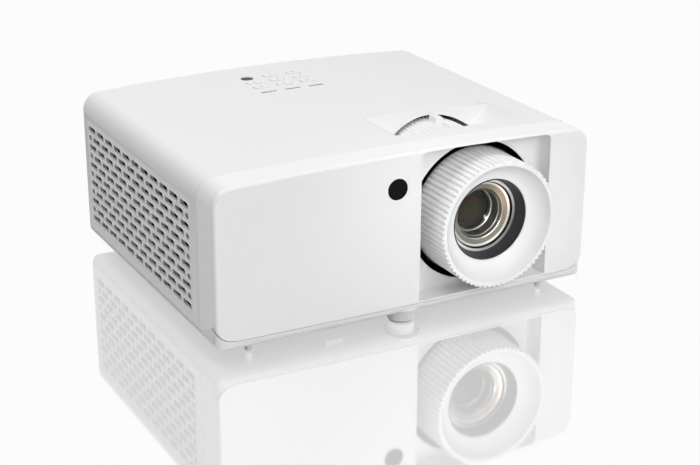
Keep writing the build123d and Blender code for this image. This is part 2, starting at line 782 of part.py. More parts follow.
def lens_well(cavity):
    """The tub behind the bezel that frames the lens, with the round hole for it."""
    tub = block(
        WELL_X0 - WELL_WALL, WELL_X1 + WELL_WALL, FRONT_Y, WELL_BACK_Y + WELL_WALL,
        WELL_FLOOR_Z - WELL_WALL, TOP_Z,
    )
    tub = (tub & cavity) - well_void()
    return tub - rod_y(WELL_HOLE_R, FRONT_Y, WELL_BACK_Y + 2 * WELL_WALL)


def lens_seal():
    """A black foam ring behind the well that closes the gap round the focus ring."""
    y0 = WELL_BACK_Y + WELL_WALL
    seal = rod_y(WELL_HOLE_R + SEAL_LAP, y0, y0 + SEAL_T)
    return seal - rod_y(RING_R + SEAL_GAP, y0, y0 + SEAL_T)


def focus_ring():
    """The knurled ring with its hollow dish, which turns on the barrel's nose."""
    ring = xz_prism(Pos(LENS_X, LENS_Z) * ribbed(RING_R, RING_RIB, RING_RIBS), RING_FRONT_Y, RING_REAR_Y)
    rim_r = RING_R - RING_RIB - RING_LAND
    bore_r = BARREL_NOSE_R + RUN_FIT
    dish_back = DISH_Y + DISH_WALL
    dish = SagittaArc((rim_r, RING_FRONT_Y), (DISH_R, DISH_Y), -DISH_HOLLOW)
    inside = Polyline(
        (DISH_R, DISH_Y), (DISH_R, dish_back), (bore_r, dish_back), (bore_r, RING_REAR_Y),
        (0, RING_REAR_Y), (0, RING_FRONT_Y), (rim_r, RING_FRONT_Y),
    )
    return ring - turned([dish, inside])


def lens_barrel():
    """The fixed tube that both rings turn on, with the flange that bolts to the light engine."""
    nose = DISH_Y + DISH_WALL + ENGINE_SETBACK - FOCUS_TRAVEL
    return turned(Polyline(
        (BARREL_BORE_R, nose), (BARREL_NOSE_R, nose), (BARREL_NOSE_R, BARREL_STEP_Y),
        (BARREL_R, BARREL_STEP_Y), (BARREL_R, FLANGE_Y - BARREL_FLANGE + CELL_FIT),
        (BARREL_FLANGE_R, FLANGE_Y - BARREL_FLANGE + CELL_FIT), (BARREL_FLANGE_R, ENGINE_Y0),
        (BARREL_BORE_R, ENGINE_Y0), close=True,
    ))


def front_cell():
    """The dark hood that carries the front glass and slides in the barrel."""
    shoulder = DISH_Y + DISH_WALL + 2 * FOCUS_TRAVEL
    return turned(Polyline(
        (HOOD_R0 - HOOD_WALL, DISH_Y), (HOOD_R0, DISH_Y), (HOOD_R0, shoulder), (CELL_R, shoulder),
        (CELL_R, SPACER_Y), (FRONT_GLASS_R, SPACER_Y), (FRONT_GLASS_R, HOOD_END_Y), (HOOD_R, HOOD_END_Y),
        close=True,
    ))


def sag(curve, radius):
    """How deep a spherical face is at a radius."""
    return curve - math.sqrt(curve**2 - radius**2)


def front_glass():
    """A thin curved glass, bulging forwards."""
    back_edge = SPACER_Y
    front_edge = GLASS_EDGE_Y
    front_sag = sag(FRONT_GLASS_CURVE, FRONT_GLASS_R)
    back_sag = sag(FRONT_GLASS_HOLLOW, FRONT_GLASS_R)
    return turned([
        RadiusArc((0, front_edge - front_sag), (FRONT_GLASS_R, front_edge), -FRONT_GLASS_CURVE),
        Line((FRONT_GLASS_R, front_edge), (FRONT_GLASS_R, back_edge)),
        RadiusArc((FRONT_GLASS_R, back_edge), (0, back_edge - back_sag), FRONT_GLASS_HOLLOW),
        Line((0, back_edge - back_sag), (0, front_edge - front_sag)),
    ])


def lens_spacers():
    """The bright ring that keeps the front glass, and the stepped rings towards the inner glass."""
    bulge = sag(FRONT_GLASS_CURVE, FRONT_GLASS_R) - sag(FRONT_GLASS_CURVE, KEEPER_R)
    keeper = rod_y(FRONT_GLASS_R, HOOD_END_Y, GLASS_EDGE_Y - bulge)
    keeper = keeper - rod_y(KEEPER_R, HOOD_END_Y, GLASS_EDGE_Y)
    corners = [(CELL_R, SPACER_Y)]
    y = SPACER_Y
    for radius, length in SPACER_STEPS:
        corners.append((radius, y))
        y += length
        corners.append((radius, y))
    corners.append((CELL_R, y))
    return keeper + turned(Polyline(*corners, close=True))


def inner_glass():
    """The coated glass at the bottom of the stepped rings."""
    back = SPACER_END_Y
    front_edge = back - INNER_GLASS
    bulge = sag(INNER_GLASS_CURVE, INNER_GLASS_R)
    return turned([
        RadiusArc((0, front_edge - bulge), (INNER_GLASS_R, front_edge), -INNER_GLASS_CURVE),
        Line((INNER_GLASS_R, front_edge), (INNER_GLASS_R, back)),
        Line((INNER_GLASS_R, back), (0, back)),
        Line((0, back), (0, front_edge - bulge)),
    ])


def zoom_ring():
    """The toothed ring in the scoop, with the tab that a finger pushes."""
    ring = xz_prism(
        Pos(LENS_X, LENS_Z) * ribbed(ZOOM_RING_R, ZOOM_RING_RIB, ZOOM_RING_RIBS),
        ZOOM_RING_Y0, ZOOM_RING_Y1,
    )
    root_r = ZOOM_RING_R - 2 * ZOOM_RING_RIB
    lowest = LENS_Z + root_r * math.cos(math.radians(ZOOM_SWING))
    back = SCOOP_Y1 - (TOP_Z - lowest) / SCOOP_BACK_SLOPE - ZOOM_TAB_FIT
    tab = block(
        -ZOOM_TAB_WIDTH / 2, ZOOM_TAB_WIDTH / 2, back - ZOOM_TAB_LENGTH, back,
        root_r, ZOOM_RING_R + ZOOM_TAB_PROUD,
    )
    ring = ring + Pos(LENS_X, 0, LENS_Z) * Rot(0, ZOOM_TAB_ANGLE, 0) * tab
    return ring - rod_y(BARREL_R + RUN_FIT, ZOOM_RING_Y0, ZOOM_RING_Y1)


def zoom_cell():
    """The inner tube that slides when the zoom ring turns."""
    end = ZOOM_CELL_Y + ZOOM_CELL_LENGTH
    return rod_y(CELL_R, ZOOM_CELL_Y, end) - rod_y(ZOOM_CELL_BORE, ZOOM_CELL_Y, end)


def zoom_glass():
    """A glass that bulges on both faces, held in the zoom cell."""
    middle = ZOOM_CELL_Y + ZOOM_CELL_LENGTH / 2
    front = middle - ZOOM_GLASS / 2
    back = middle + ZOOM_GLASS / 2
    bulge = sag(ZOOM_GLASS_CURVE, ZOOM_CELL_BORE)
    return turned([
        RadiusArc((0, front - bulge), (ZOOM_CELL_BORE, front), -ZOOM_GLASS_CURVE),
        Line((ZOOM_CELL_BORE, front), (ZOOM_CELL_BORE, back)),
        RadiusArc((ZOOM_CELL_BORE, back), (0, back + bulge), -ZOOM_GLASS_CURVE),
        Line((0, back + bulge), (0, front - bulge)),
    ])


def key_cap(column, row):
    """A key that drops through the top cover, with the flange that keeps it in."""
    x, y = key_place(column, row)
    under = top_at(abs(x) + KEY_LENGTH) - WALL - KEY_GAP
    cap = xy_prism(key_hole(column, row, 0), under, top_at(x) + KEY_PROUD)
    flange = xy_prism(key_hole(column, row, 2 * KEY_GAP), under - KEY_FLANGE, under)
    stem = xy_prism(Pos(x, y) * Circle(KEY_WIDTH / 4), keypad_z() + KEY_TRAVEL + KEY_GAP, under)
    return cap + flange + stem


def keypad_board():
    """The small board under the keys, with a dome switch below each key."""
    x0, x1, y0, y1 = keypad_extent()
    board = block(x0, x1, y0, y1, keypad_z() - BOARD_T, keypad_z())
    for _, column, row in KEYS:
        x, y = key_place(column, row)
        board = board + rod_z(KEY_WIDTH / 3, keypad_z(), keypad_z() + KEY_GAP / 2, x, y)
    return board


def indicator_lights():
    """Three clear bars from the keypad board up to the top face."""
    return [
        xy_prism(light_bar(index), keypad_z(), top_at(KEY_COLUMN_X + index * KEY_PITCH_X))
        for index in range(3)
    ]


def top_window():
    """The dark receiver window beside the keys, down to the keypad board."""
    x, y = key_place(0, 0)
    return rod_z(TOP_WINDOW_R, keypad_z(), top_at(x) - WINDOW_RECESS, x, y)


def front_window():
    """The dark receiver window in the bezel."""
    return rod_y(
        FRONT_WINDOW_R, FRONT_Y + WINDOW_RECESS, FRONT_Y + WALL + WELL_SILL, FRONT_WINDOW_X, FRONT_WINDOW_Z
    )


def socket_block(x, width, height, grow, y0):
    """The outside of a socket that stands on the main board, let out by a clearance."""
    low = MAIN_BOARD_Z + BOARD_T
    return block(
        x - width / 2 - grow, x + width / 2 + grow, y0, PANEL_OUT_Y, low - grow, low + height + grow
    )


def socket(x, width, height):
    """A metal-cased socket with its open mouth and the tongue inside it."""
    shell = socket_block(x, width, height, 0, PANEL_OUT_Y - SOCKET_MOUTH - 2 * SOCKET_SKIN)
    low = MAIN_BOARD_Z + BOARD_T
    mouth = block(
        x - width / 2 + SOCKET_SKIN, x + width / 2 - SOCKET_SKIN, PANEL_OUT_Y - SOCKET_MOUTH, PANEL_OUT_Y,
        low + SOCKET_SKIN, low + height - SOCKET_SKIN,
    )
    tongue = block(
        x - width / 3, x + width / 3, PANEL_OUT_Y - SOCKET_MOUTH, PANEL_OUT_Y - SOCKET_SKIN,
        low + height - 3 * SOCKET_SKIN, low + height - 2 * SOCKET_SKIN,
    )
    return shell - mouth + tongue


def sound_jacks():
    """The two round sound jacks."""
    jacks = []
    z = MAIN_BOARD_Z + BOARD_T + JACK_SIZE / 2
    for x in JACK_XS:
        case = socket_block(x, JACK_SIZE, JACK_SIZE, 0, PANEL_IN_Y - SOCKET_MOUTH)
        case = case - block(
            x - JACK_SIZE / 2, x + JACK_SIZE / 2, PANEL_IN_Y - SOCKET_FIT, PANEL_OUT_Y,
            z - JACK_SIZE / 2, z + JACK_SIZE / 2,
        )
        ring = rod_y(JACK_RING_R, PANEL_IN_Y - SOCKET_FIT, PANEL_OUT_Y, x, z)
        jacks.append(case + ring - rod_y(JACK_BORE_R, PANEL_OUT_Y - SOCKET_MOUTH, PANEL_OUT_Y, x, z))
    return jacks


def inlet_outline(inset):
    """The mains inlet from behind: a rectangle with its two upper corners cut."""
    half = INLET_WIDTH / 2 - inset
    low = INLET_Z - INLET_HEIGHT / 2 + inset
    high = INLET_Z + INLET_HEIGHT / 2 - inset
    cut = INLET_HEIGHT / 4
    return make_face(Polyline(
        (INLET_X - half, low), (INLET_X + half, low), (INLET_X + half, high - cut),
        (INLET_X + half - cut, high), (INLET_X - half + cut, high), (INLET_X - half, high - cut), close=True,
    ))


def power_inlet():
    """The mains inlet's moulded body with its deep mouth."""
    body = xz_prism(inlet_outline(0), PANEL_OUT_Y - INLET_DEPTH, PANEL_OUT_Y)
    return body - xz_prism(inlet_outline(INLET_WALL), PANEL_OUT_Y - INLET_MOUTH, PANEL_OUT_Y)


def inlet_pins():
    """The three blades at the bottom of the inlet's mouth."""
    y0 = PANEL_OUT_Y - INLET_MOUTH
    places = ((-PIN_SPREAD, -PIN_RISE), (0.0, PIN_RISE), (PIN_SPREAD, -PIN_RISE))
    return [
        block(
            INLET_X + x - PIN_T / 2, INLET_X + x + PIN_T / 2, y0, y0 + PIN_LENGTH,
            INLET_Z + z - PIN_WIDTH / 2, INLET_Z + z + PIN_WIDTH / 2,
        )
        for x, z in places
    ]


def rear_panel():
    """The plate that fills the casing's back, cut out for every socket."""
    panel = block(
        -REAR_PANEL_WIDTH / 2, REAR_PANEL_WIDTH / 2, PANEL_IN_Y, PANEL_OUT_Y,
        REAR_PANEL_LOW_Z, REAR_PANEL_LOW_Z + REAR_PANEL_HEIGHT,
    )
    mouths = [(LAN_X, LAN_WIDTH, LAN_HEIGHT), (USB_X, USB_WIDTH, USB_HEIGHT)]
    mouths += [(x, HDMI_WIDTH, HDMI_HEIGHT) for x in HDMI_XS]
    for x, width, height in mouths:
        panel = panel - socket_block(x, width, height, SOCKET_FIT, PANEL_IN_Y - WALL)
    z = MAIN_BOARD_Z + BOARD_T + JACK_SIZE / 2
    for x in JACK_XS:
        panel = panel - rod_y(JACK_RING_R + SOCKET_FIT, PANEL_IN_Y - WALL, PANEL_OUT_Y, x, z)
    return panel - xz_prism(inlet_outline(0), PANEL_IN_Y - WALL, PANEL_OUT_Y)


def main_board():
    """The board that carries the sockets."""
    return block(
        MAIN_BOARD_X - MAIN_BOARD_WIDTH / 2, MAIN_BOARD_X + MAIN_BOARD_WIDTH / 2,
        MAIN_BOARD_Y1 - MAIN_BOARD_DEPTH, MAIN_BOARD_Y1, MAIN_BOARD_Z, MAIN_BOARD_Z + BOARD_T,
    )


def power_board():
    """The mains power supply's board."""
    return block(
        POWER_BOARD_X - POWER_BOARD_WIDTH / 2, POWER_BOARD_X + POWER_BOARD_WIDTH / 2,
        POWER_BOARD_Y - POWER_BOARD_DEPTH / 2, POWER_BOARD_Y + POWER_BOARD_DEPTH / 2,
        POWER_BOARD_Z, POWER_BOARD_Z + BOARD_T,
    )


def power_parts():
    """Capacitors, transformers and a cooling fin on the power board."""
    low = POWER_BOARD_Z + BOARD_T
    parts = [
        rod_z(radius, low, low + height, POWER_BOARD_X + CAPACITOR_X, POWER_BOARD_Y + y)
        for y, radius, height in CAPACITORS
    ]
    x0 = POWER_BOARD_X + TRANSFORMER_X - TRANSFORMER_WIDTH / 2
    x1 = x0 + TRANSFORMER_WIDTH
    for y, length, height in TRANSFORMERS:
        y0 = POWER_BOARD_Y + y - length / 2
        parts.append(block(x0, x1, y0, y0 + length, low, low + height))
    x0 = POWER_BOARD_X + POWER_FIN_X
    y0 = POWER_BOARD_Y + POWER_FIN_Y - POWER_FIN_LENGTH / 2
    parts.append(block(
        x0, x0 + POWER_FIN_T, y0, y0 + POWER_FIN_LENGTH, low, low + POWER_FIN_HEIGHT
    ))
    return parts


def light_engine():
    """The cast housing behind the lens, open at its back for the imaging chip's board."""
    body = block(
        ENGINE_X0, ENGINE_X0 + ENGINE_WIDTH, ENGINE_Y0, ENGINE_Y1, ENGINE_LOW_Z, ENGINE_LOW_Z + ENGINE_HEIGHT
    )
    hollow = block(
        ENGINE_X0 + ENGINE_WALL, ENGINE_X0 + ENGINE_WIDTH - ENGINE_WALL, ENGINE_Y0 + ENGINE_WALL, ENGINE_Y1,
        ENGINE_LOW_Z + ENGINE_WALL, ENGINE_LOW_Z + ENGINE_HEIGHT - ENGINE_WALL,
    )
    return body - hollow - rod_y(ENGINE_PORT_R, ENGINE_Y0, ENGINE_Y0 + ENGINE_WALL)


def laser_module():
    """The laser bank, bolted to the side of the light engine."""
    y0 = ENGINE_Y0 + LASER_SETBACK
    low = ENGINE_LOW_Z + ENGINE_WALL
    return block(ENGINE_X0 - LASER_DEPTH, ENGINE_X0, y0, y0 + LASER_LENGTH, low, low + LASER_HEIGHT)


def laser_heat_sink():
    """A finned sink on the laser bank."""
    x1 = ENGINE_X0 - LASER_DEPTH
    y0 = ENGINE_Y0 + LASER_SETBACK
    low = ENGINE_LOW_Z + ENGINE_WALL
    sink = block(x1 - FIN_BASE, x1, y0, y0 + LASER_LENGTH, low, low + LASER_HEIGHT)
    z = low
    while z + FIN_T <= low + LASER_HEIGHT:
        sink = sink + block(x1 - LASER_SINK, x1 - FIN_BASE, y0, y0 + LASER_LENGTH, z, z + FIN_T)
        z += FIN_PITCH
    return sink


def wheel_place():
    """Middle of the phosphor wheel in Y and Z."""
    return ENGINE_Y0 + WHEEL_SETBACK, ENGINE_LOW_Z + WHEEL_RISE


def wheel_motor():
    """The small motor that spins the phosphor wheel, with its shaft."""
    y, z = wheel_place()
    face = ENGINE_X0 - MOTOR_LENGTH
    shaft = rod_x(SHAFT_R, face - WHEEL_STANDOFF - WHEEL_T, face, y, z)
    return rod_x(MOTOR_R, face, ENGINE_X0, y, z) + shaft


def phosphor_wheel():
    """The coated disc that turns laser light to yellow, with its hub."""
    y, z = wheel_place()
    face = ENGINE_X0 - MOTOR_LENGTH - WHEEL_STANDOFF
    disc = rod_x(WHEEL_R, face - WHEEL_T, face, y, z)
    hub = rod_x(WHEEL_HUB_R, face - 2 * WHEEL_T, face - WHEEL_T, y, z)
    return disc + hub - rod_x(SHAFT_R + RUN_FIT, face - WHEEL_T, face, y, z)


def chip_board():
    """The imaging chip's board, which closes the back of the light engine."""
    return block(
        ENGINE_X0 + CHIP_BOARD_INSET, ENGINE_X0 + ENGINE_WIDTH - CHIP_BOARD_INSET,
        ENGINE_Y1, ENGINE_Y1 + BOARD_T,
        ENGINE_LOW_Z + CHIP_BOARD_INSET, ENGINE_LOW_Z + ENGINE_HEIGHT - CHIP_BOARD_INSET,
    ) + block(
        ENGINE_X0 + ENGINE_WALL, ENGINE_X0 + CHIP_BOARD_INSET, ENGINE_Y1, ENGINE_Y1 + BOARD_T,
        LENS_Z - CHIP_SINK_SIZE / 2, LENS_Z + CHIP_SINK_SIZE / 2,
    ) + block(
        ENGINE_X0 + ENGINE_WIDTH - CHIP_BOARD_INSET, ENGINE_X0 + ENGINE_WIDTH, ENGINE_Y1, ENGINE_Y1 + BOARD_T,
        LENS_Z - CHIP_SINK_SIZE / 2, LENS_Z + CHIP_SINK_SIZE / 2,
    )


def chip_heat_sink():
    """The finned sink on the back of the imaging chip."""
    y0 = ENGINE_Y1 + BOARD_T
    half = CHIP_SINK_SIZE / 2
    sink = block(LENS_X - half, LENS_X + half, y0, y0 + FIN_BASE, LENS_Z - half, LENS_Z + half)
    x = LENS_X - half
    while x + FIN_T <= LENS_X + half:
        sink = sink + block(x, x + FIN_T, y0 + FIN_BASE, y0 + CHIP_SINK_DEPTH, LENS_Z - half, LENS_Z + half)
        x += FIN_PITCH
    return sink


def fan_frame(size, side, y):
    """A square fan frame that stands on the casing's floor, with spokes to its motor."""
    z = FLOOR_Z + size / 2
    x0 = FAN_X1 - FAN_T
    frame = block(x0, FAN_X1, y - size / 2, y + size / 2, z - size / 2, z + size / 2)
    frame = frame - rod_x(size / 2 - FAN_FRAME, x0, FAN_X1, y, z)
    reach = size / 2 - FAN_FRAME / 2
    hub_r = HUB_SHARE * size / 2
    frame = frame + rod_x(hub_r, x0, x0 + FAN_SPOKE, y, z)
    for turn in range(3):
        spoke = block(x0, x0 + FAN_SPOKE, -FAN_SPOKE / 2, FAN_SPOKE / 2, 0, reach)
        frame = frame + Pos(0, y, z) * Rot(120 * turn, 0, 0) * spoke
    frame = frame + rod_x(SHAFT_R, x0 + FAN_SPOKE, FAN_X1 - FAN_SPOKE, y, z)
    if side < 0:
        return mirror(frame, Plane.YZ)
    return frame


def fan_rotor(size, side, y):
    """A fan's hub and slanted blades."""
    z = FLOOR_Z + size / 2
    x0 = FAN_X1 - FAN_T + FAN_SPOKE + BLADE_GAP
    x1 = FAN_X1 - BLADE_GAP
    hub_r = HUB_SHARE * size / 2
    reach = size / 2 - FAN_FRAME - BLADE_GAP
    rotor = rod_x(hub_r, x0, x1, y, z)
    chord = (x1 - x0) * BLADE_SHARE
    for number in range(BLADES):
        blade = block(-chord / 2, chord / 2, -BLADE_T / 2, BLADE_T / 2, hub_r - BLADE_T, reach)
        blade = Pos((x0 + x1) / 2, 0, 0) * Rot(0, 0, BLADE_TWIST) * blade
        rotor = rotor + Pos(0, y, z) * Rot(360 * number / BLADES, 0, 0) * blade
    rotor = rotor - rod_x(SHAFT_R + RUN_FIT, x0, FAN_X1 - FAN_SPOKE + RUN_FIT, y, z)
    if side < 0:
        return mirror(rotor, Plane.YZ)
    return rotor


def speaker_box():
    """The speaker's closed box, with the round hole that the cone fills."""
    x0 = -FAN_X1
    x1 = x0 + SPEAKER_DEPTH
    y0 = SPEAKER_Y - SPEAKER_WIDTH / 2
    y1 = SPEAKER_Y + SPEAKER_WIDTH / 2
    z1 = FLOOR_Z + SPEAKER_HEIGHT
    box = block(x0, x1, y0, y1, FLOOR_Z, z1)
    box = box - block(
        x0 + SPEAKER_WALL, x1 - SPEAKER_WALL, y0 + SPEAKER_WALL, y1 - SPEAKER_WALL,
        FLOOR_Z + SPEAKER_WALL, z1 - SPEAKER_WALL,
    )
    return box - rod_x(CONE_R, x0, x0 + SPEAKER_WALL, SPEAKER_Y, FLOOR_Z + SPEAKER_HEIGHT / 2)


def speaker_cone():
    """The speaker's paper cone, set in the box's round hole."""
    x0 = -FAN_X1
    face = make_face(Polyline(
        (0, CONE_DEPTH), (CONE_R / 3, CONE_DEPTH), (CONE_R, CONE_T), (CONE_R, 0),
        (CONE_R - CONE_T, 0), (CONE_R / 3, CONE_DEPTH - CONE_T), (0, CONE_DEPTH - CONE_T), close=True,
    ))
    cone = revolve(face, Axis.Y)
    return Pos(x0, SPEAKER_Y, FLOOR_Z + SPEAKER_HEIGHT / 2) * Rot(0, 0, -90) * cone


def all_pieces():
    """Every piece by name, in the place where it sits in the projector."""
    cavity = casing_block(WALL)
    shell = casing_block(0) - cavity
    pieces = {
        "bottom_cover": bottom_cover(shell),
        "front_bezel": front_bezel(shell, cavity),
        "top_cover": top_cover(shell, cavity),
        "left_grille": side_grille(-1),
        "right_grille": side_grille(1),
        "dust_filter": dust_filter(),
        "rear_panel": rear_panel(),
        "lens_well": lens_well(cavity),
        "lens_seal": lens_seal(),
        "focus_ring": focus_ring(),
        "lens_barrel": lens_barrel(),
        "front_cell": front_cell(),
        "front_glass": front_glass(),
        "lens_spacers": lens_spacers(),
        "inner_glass": inner_glass(),
        "zoom_ring": zoom_ring(),
        "zoom_cell": zoom_cell(),
        "zoom_glass": zoom_glass(),
        "keypad_board": keypad_board(),
        "indicator_lights": indicator_lights(),
        "top_window": top_window(),
        "front_window": front_window(),
        "mount_inserts": mount_inserts(),
        "cover_screws": cover_screws(),
        "lan_socket": socket(LAN_X, LAN_WIDTH, LAN_HEIGHT),
        "hdmi_sockets": [socket(x, HDMI_WIDTH, HDMI_HEIGHT) for x in HDMI_XS],
        "usb_socket": socket(USB_X, USB_WIDTH, USB_HEIGHT),
        "sound_jacks": sound_jacks(),
        "power_inlet": power_inlet(),
        "inlet_pins": inlet_pins(),
        "main_board": main_board(),
        "power_board": power_board(),
        "power_parts": power_parts(),
        "light_engine": light_engine(),
        "laser_module": laser_module(),
        "laser_heat_sink": laser_heat_sink(),
        "wheel_motor": wheel_motor(),
        "phosphor_wheel": phosphor_wheel(),
        "chip_board": chip_board(),
        "chip_heat_sink": chip_heat_sink(),
        "intake_fan_frame": fan_frame(INTAKE_SIZE, -1, INTAKE_Y),
        "intake_fan_rotor": fan_rotor(INTAKE_SIZE, -1, INTAKE_Y),
        "exhaust_fan_frame": fan_frame(EXHAUST_SIZE, 1, EXHAUST_Y),
        "exhaust_fan_rotor": fan_rotor(EXHAUST_SIZE, 1, EXHAUST_Y),
        "speaker_box": speaker_box(),
        "speaker_cone": speaker_cone(),
    }
    for name, x, y in foot_places():
        pieces[name] = foot_knob(x, y)
        pieces[name + "_pad"] = foot_pad(x, y)
    for name, column, row in KEYS:
        pieces[name] = key_cap(column, row)
    return pieces


def solids_of(shape):
    """All solids of a piece, as one compound where there is more than one."""
    shapes = shape if isinstance(shape, list) else [shape]
    solids = [solid for item in shapes for solid in item.solids()]
    return solids[0] if len(solids) == 1 else Compound(solids)


def main():
    """Write one file for each piece."""
    os.makedirs("parts", exist_ok=True)
    for name, shape in all_pieces().items():
        export_step(solids_of(shape), f"parts/{name}.step")


main()
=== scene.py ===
import json
import logging
import math
from collections.abc import Callable
from dataclasses import dataclass
from enum import Enum
from functools import cache

import bmesh
import bpy
from bmesh.types import BMEdge, BMesh, BMFace, BMVert
from bpy.types import Material, Mesh, Node, NodeSocket, NodeTree, Object
from mathutils import Euler, Matrix, Vector

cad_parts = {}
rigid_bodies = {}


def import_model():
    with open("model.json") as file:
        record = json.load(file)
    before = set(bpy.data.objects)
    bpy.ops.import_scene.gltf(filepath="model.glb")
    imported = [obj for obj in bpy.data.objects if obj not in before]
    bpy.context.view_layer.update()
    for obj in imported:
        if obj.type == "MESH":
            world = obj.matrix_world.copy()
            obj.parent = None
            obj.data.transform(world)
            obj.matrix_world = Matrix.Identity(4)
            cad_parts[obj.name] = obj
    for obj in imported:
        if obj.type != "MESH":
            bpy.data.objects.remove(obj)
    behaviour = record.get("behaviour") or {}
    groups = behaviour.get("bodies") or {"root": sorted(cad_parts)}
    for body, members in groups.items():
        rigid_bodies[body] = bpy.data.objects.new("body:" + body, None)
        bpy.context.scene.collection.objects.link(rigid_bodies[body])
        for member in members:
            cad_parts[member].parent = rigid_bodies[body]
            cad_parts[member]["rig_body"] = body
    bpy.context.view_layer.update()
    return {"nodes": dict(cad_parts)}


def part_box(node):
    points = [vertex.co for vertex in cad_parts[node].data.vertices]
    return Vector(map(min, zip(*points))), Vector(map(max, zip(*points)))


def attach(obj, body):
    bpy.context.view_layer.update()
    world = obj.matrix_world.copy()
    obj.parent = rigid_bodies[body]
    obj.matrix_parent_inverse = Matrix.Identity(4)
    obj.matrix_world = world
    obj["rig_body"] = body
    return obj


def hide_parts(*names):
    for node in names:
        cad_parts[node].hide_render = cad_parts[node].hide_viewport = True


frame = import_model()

MM = 0.001
WHITE = (1.0, 1.0, 1.0, 1.0)
LOG = logging.getLogger("projector")

Colour = tuple[float, float, float]
Point = tuple[float, float, float]


class Side(Enum):
    """The two sides of the casing that have grilles, by the sign of X."""

    LEFT = -1
    RIGHT = 1


class Mark(Enum):
    """The raised marks on the keys; an arrow's value is its turn in degrees."""

    ARROW_UP = 90
    ARROW_LEFT = 180
    ARROW_DOWN = 270
    ARROW_RIGHT = 0
    DOT = 1
    BARS = 2
    RING = 3
    FRAME = 4


def node_box(node: str) -> tuple[Vector, Vector]:
    """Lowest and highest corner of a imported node, in metres."""
    low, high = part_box(node)
    return Vector(low), Vector(high)


def node_middle(node: str) -> Vector:
    """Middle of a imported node's box, in metres."""
    low, high = node_box(node)
    return (low + high) / 2


LENS = node_middle("focus_ring")


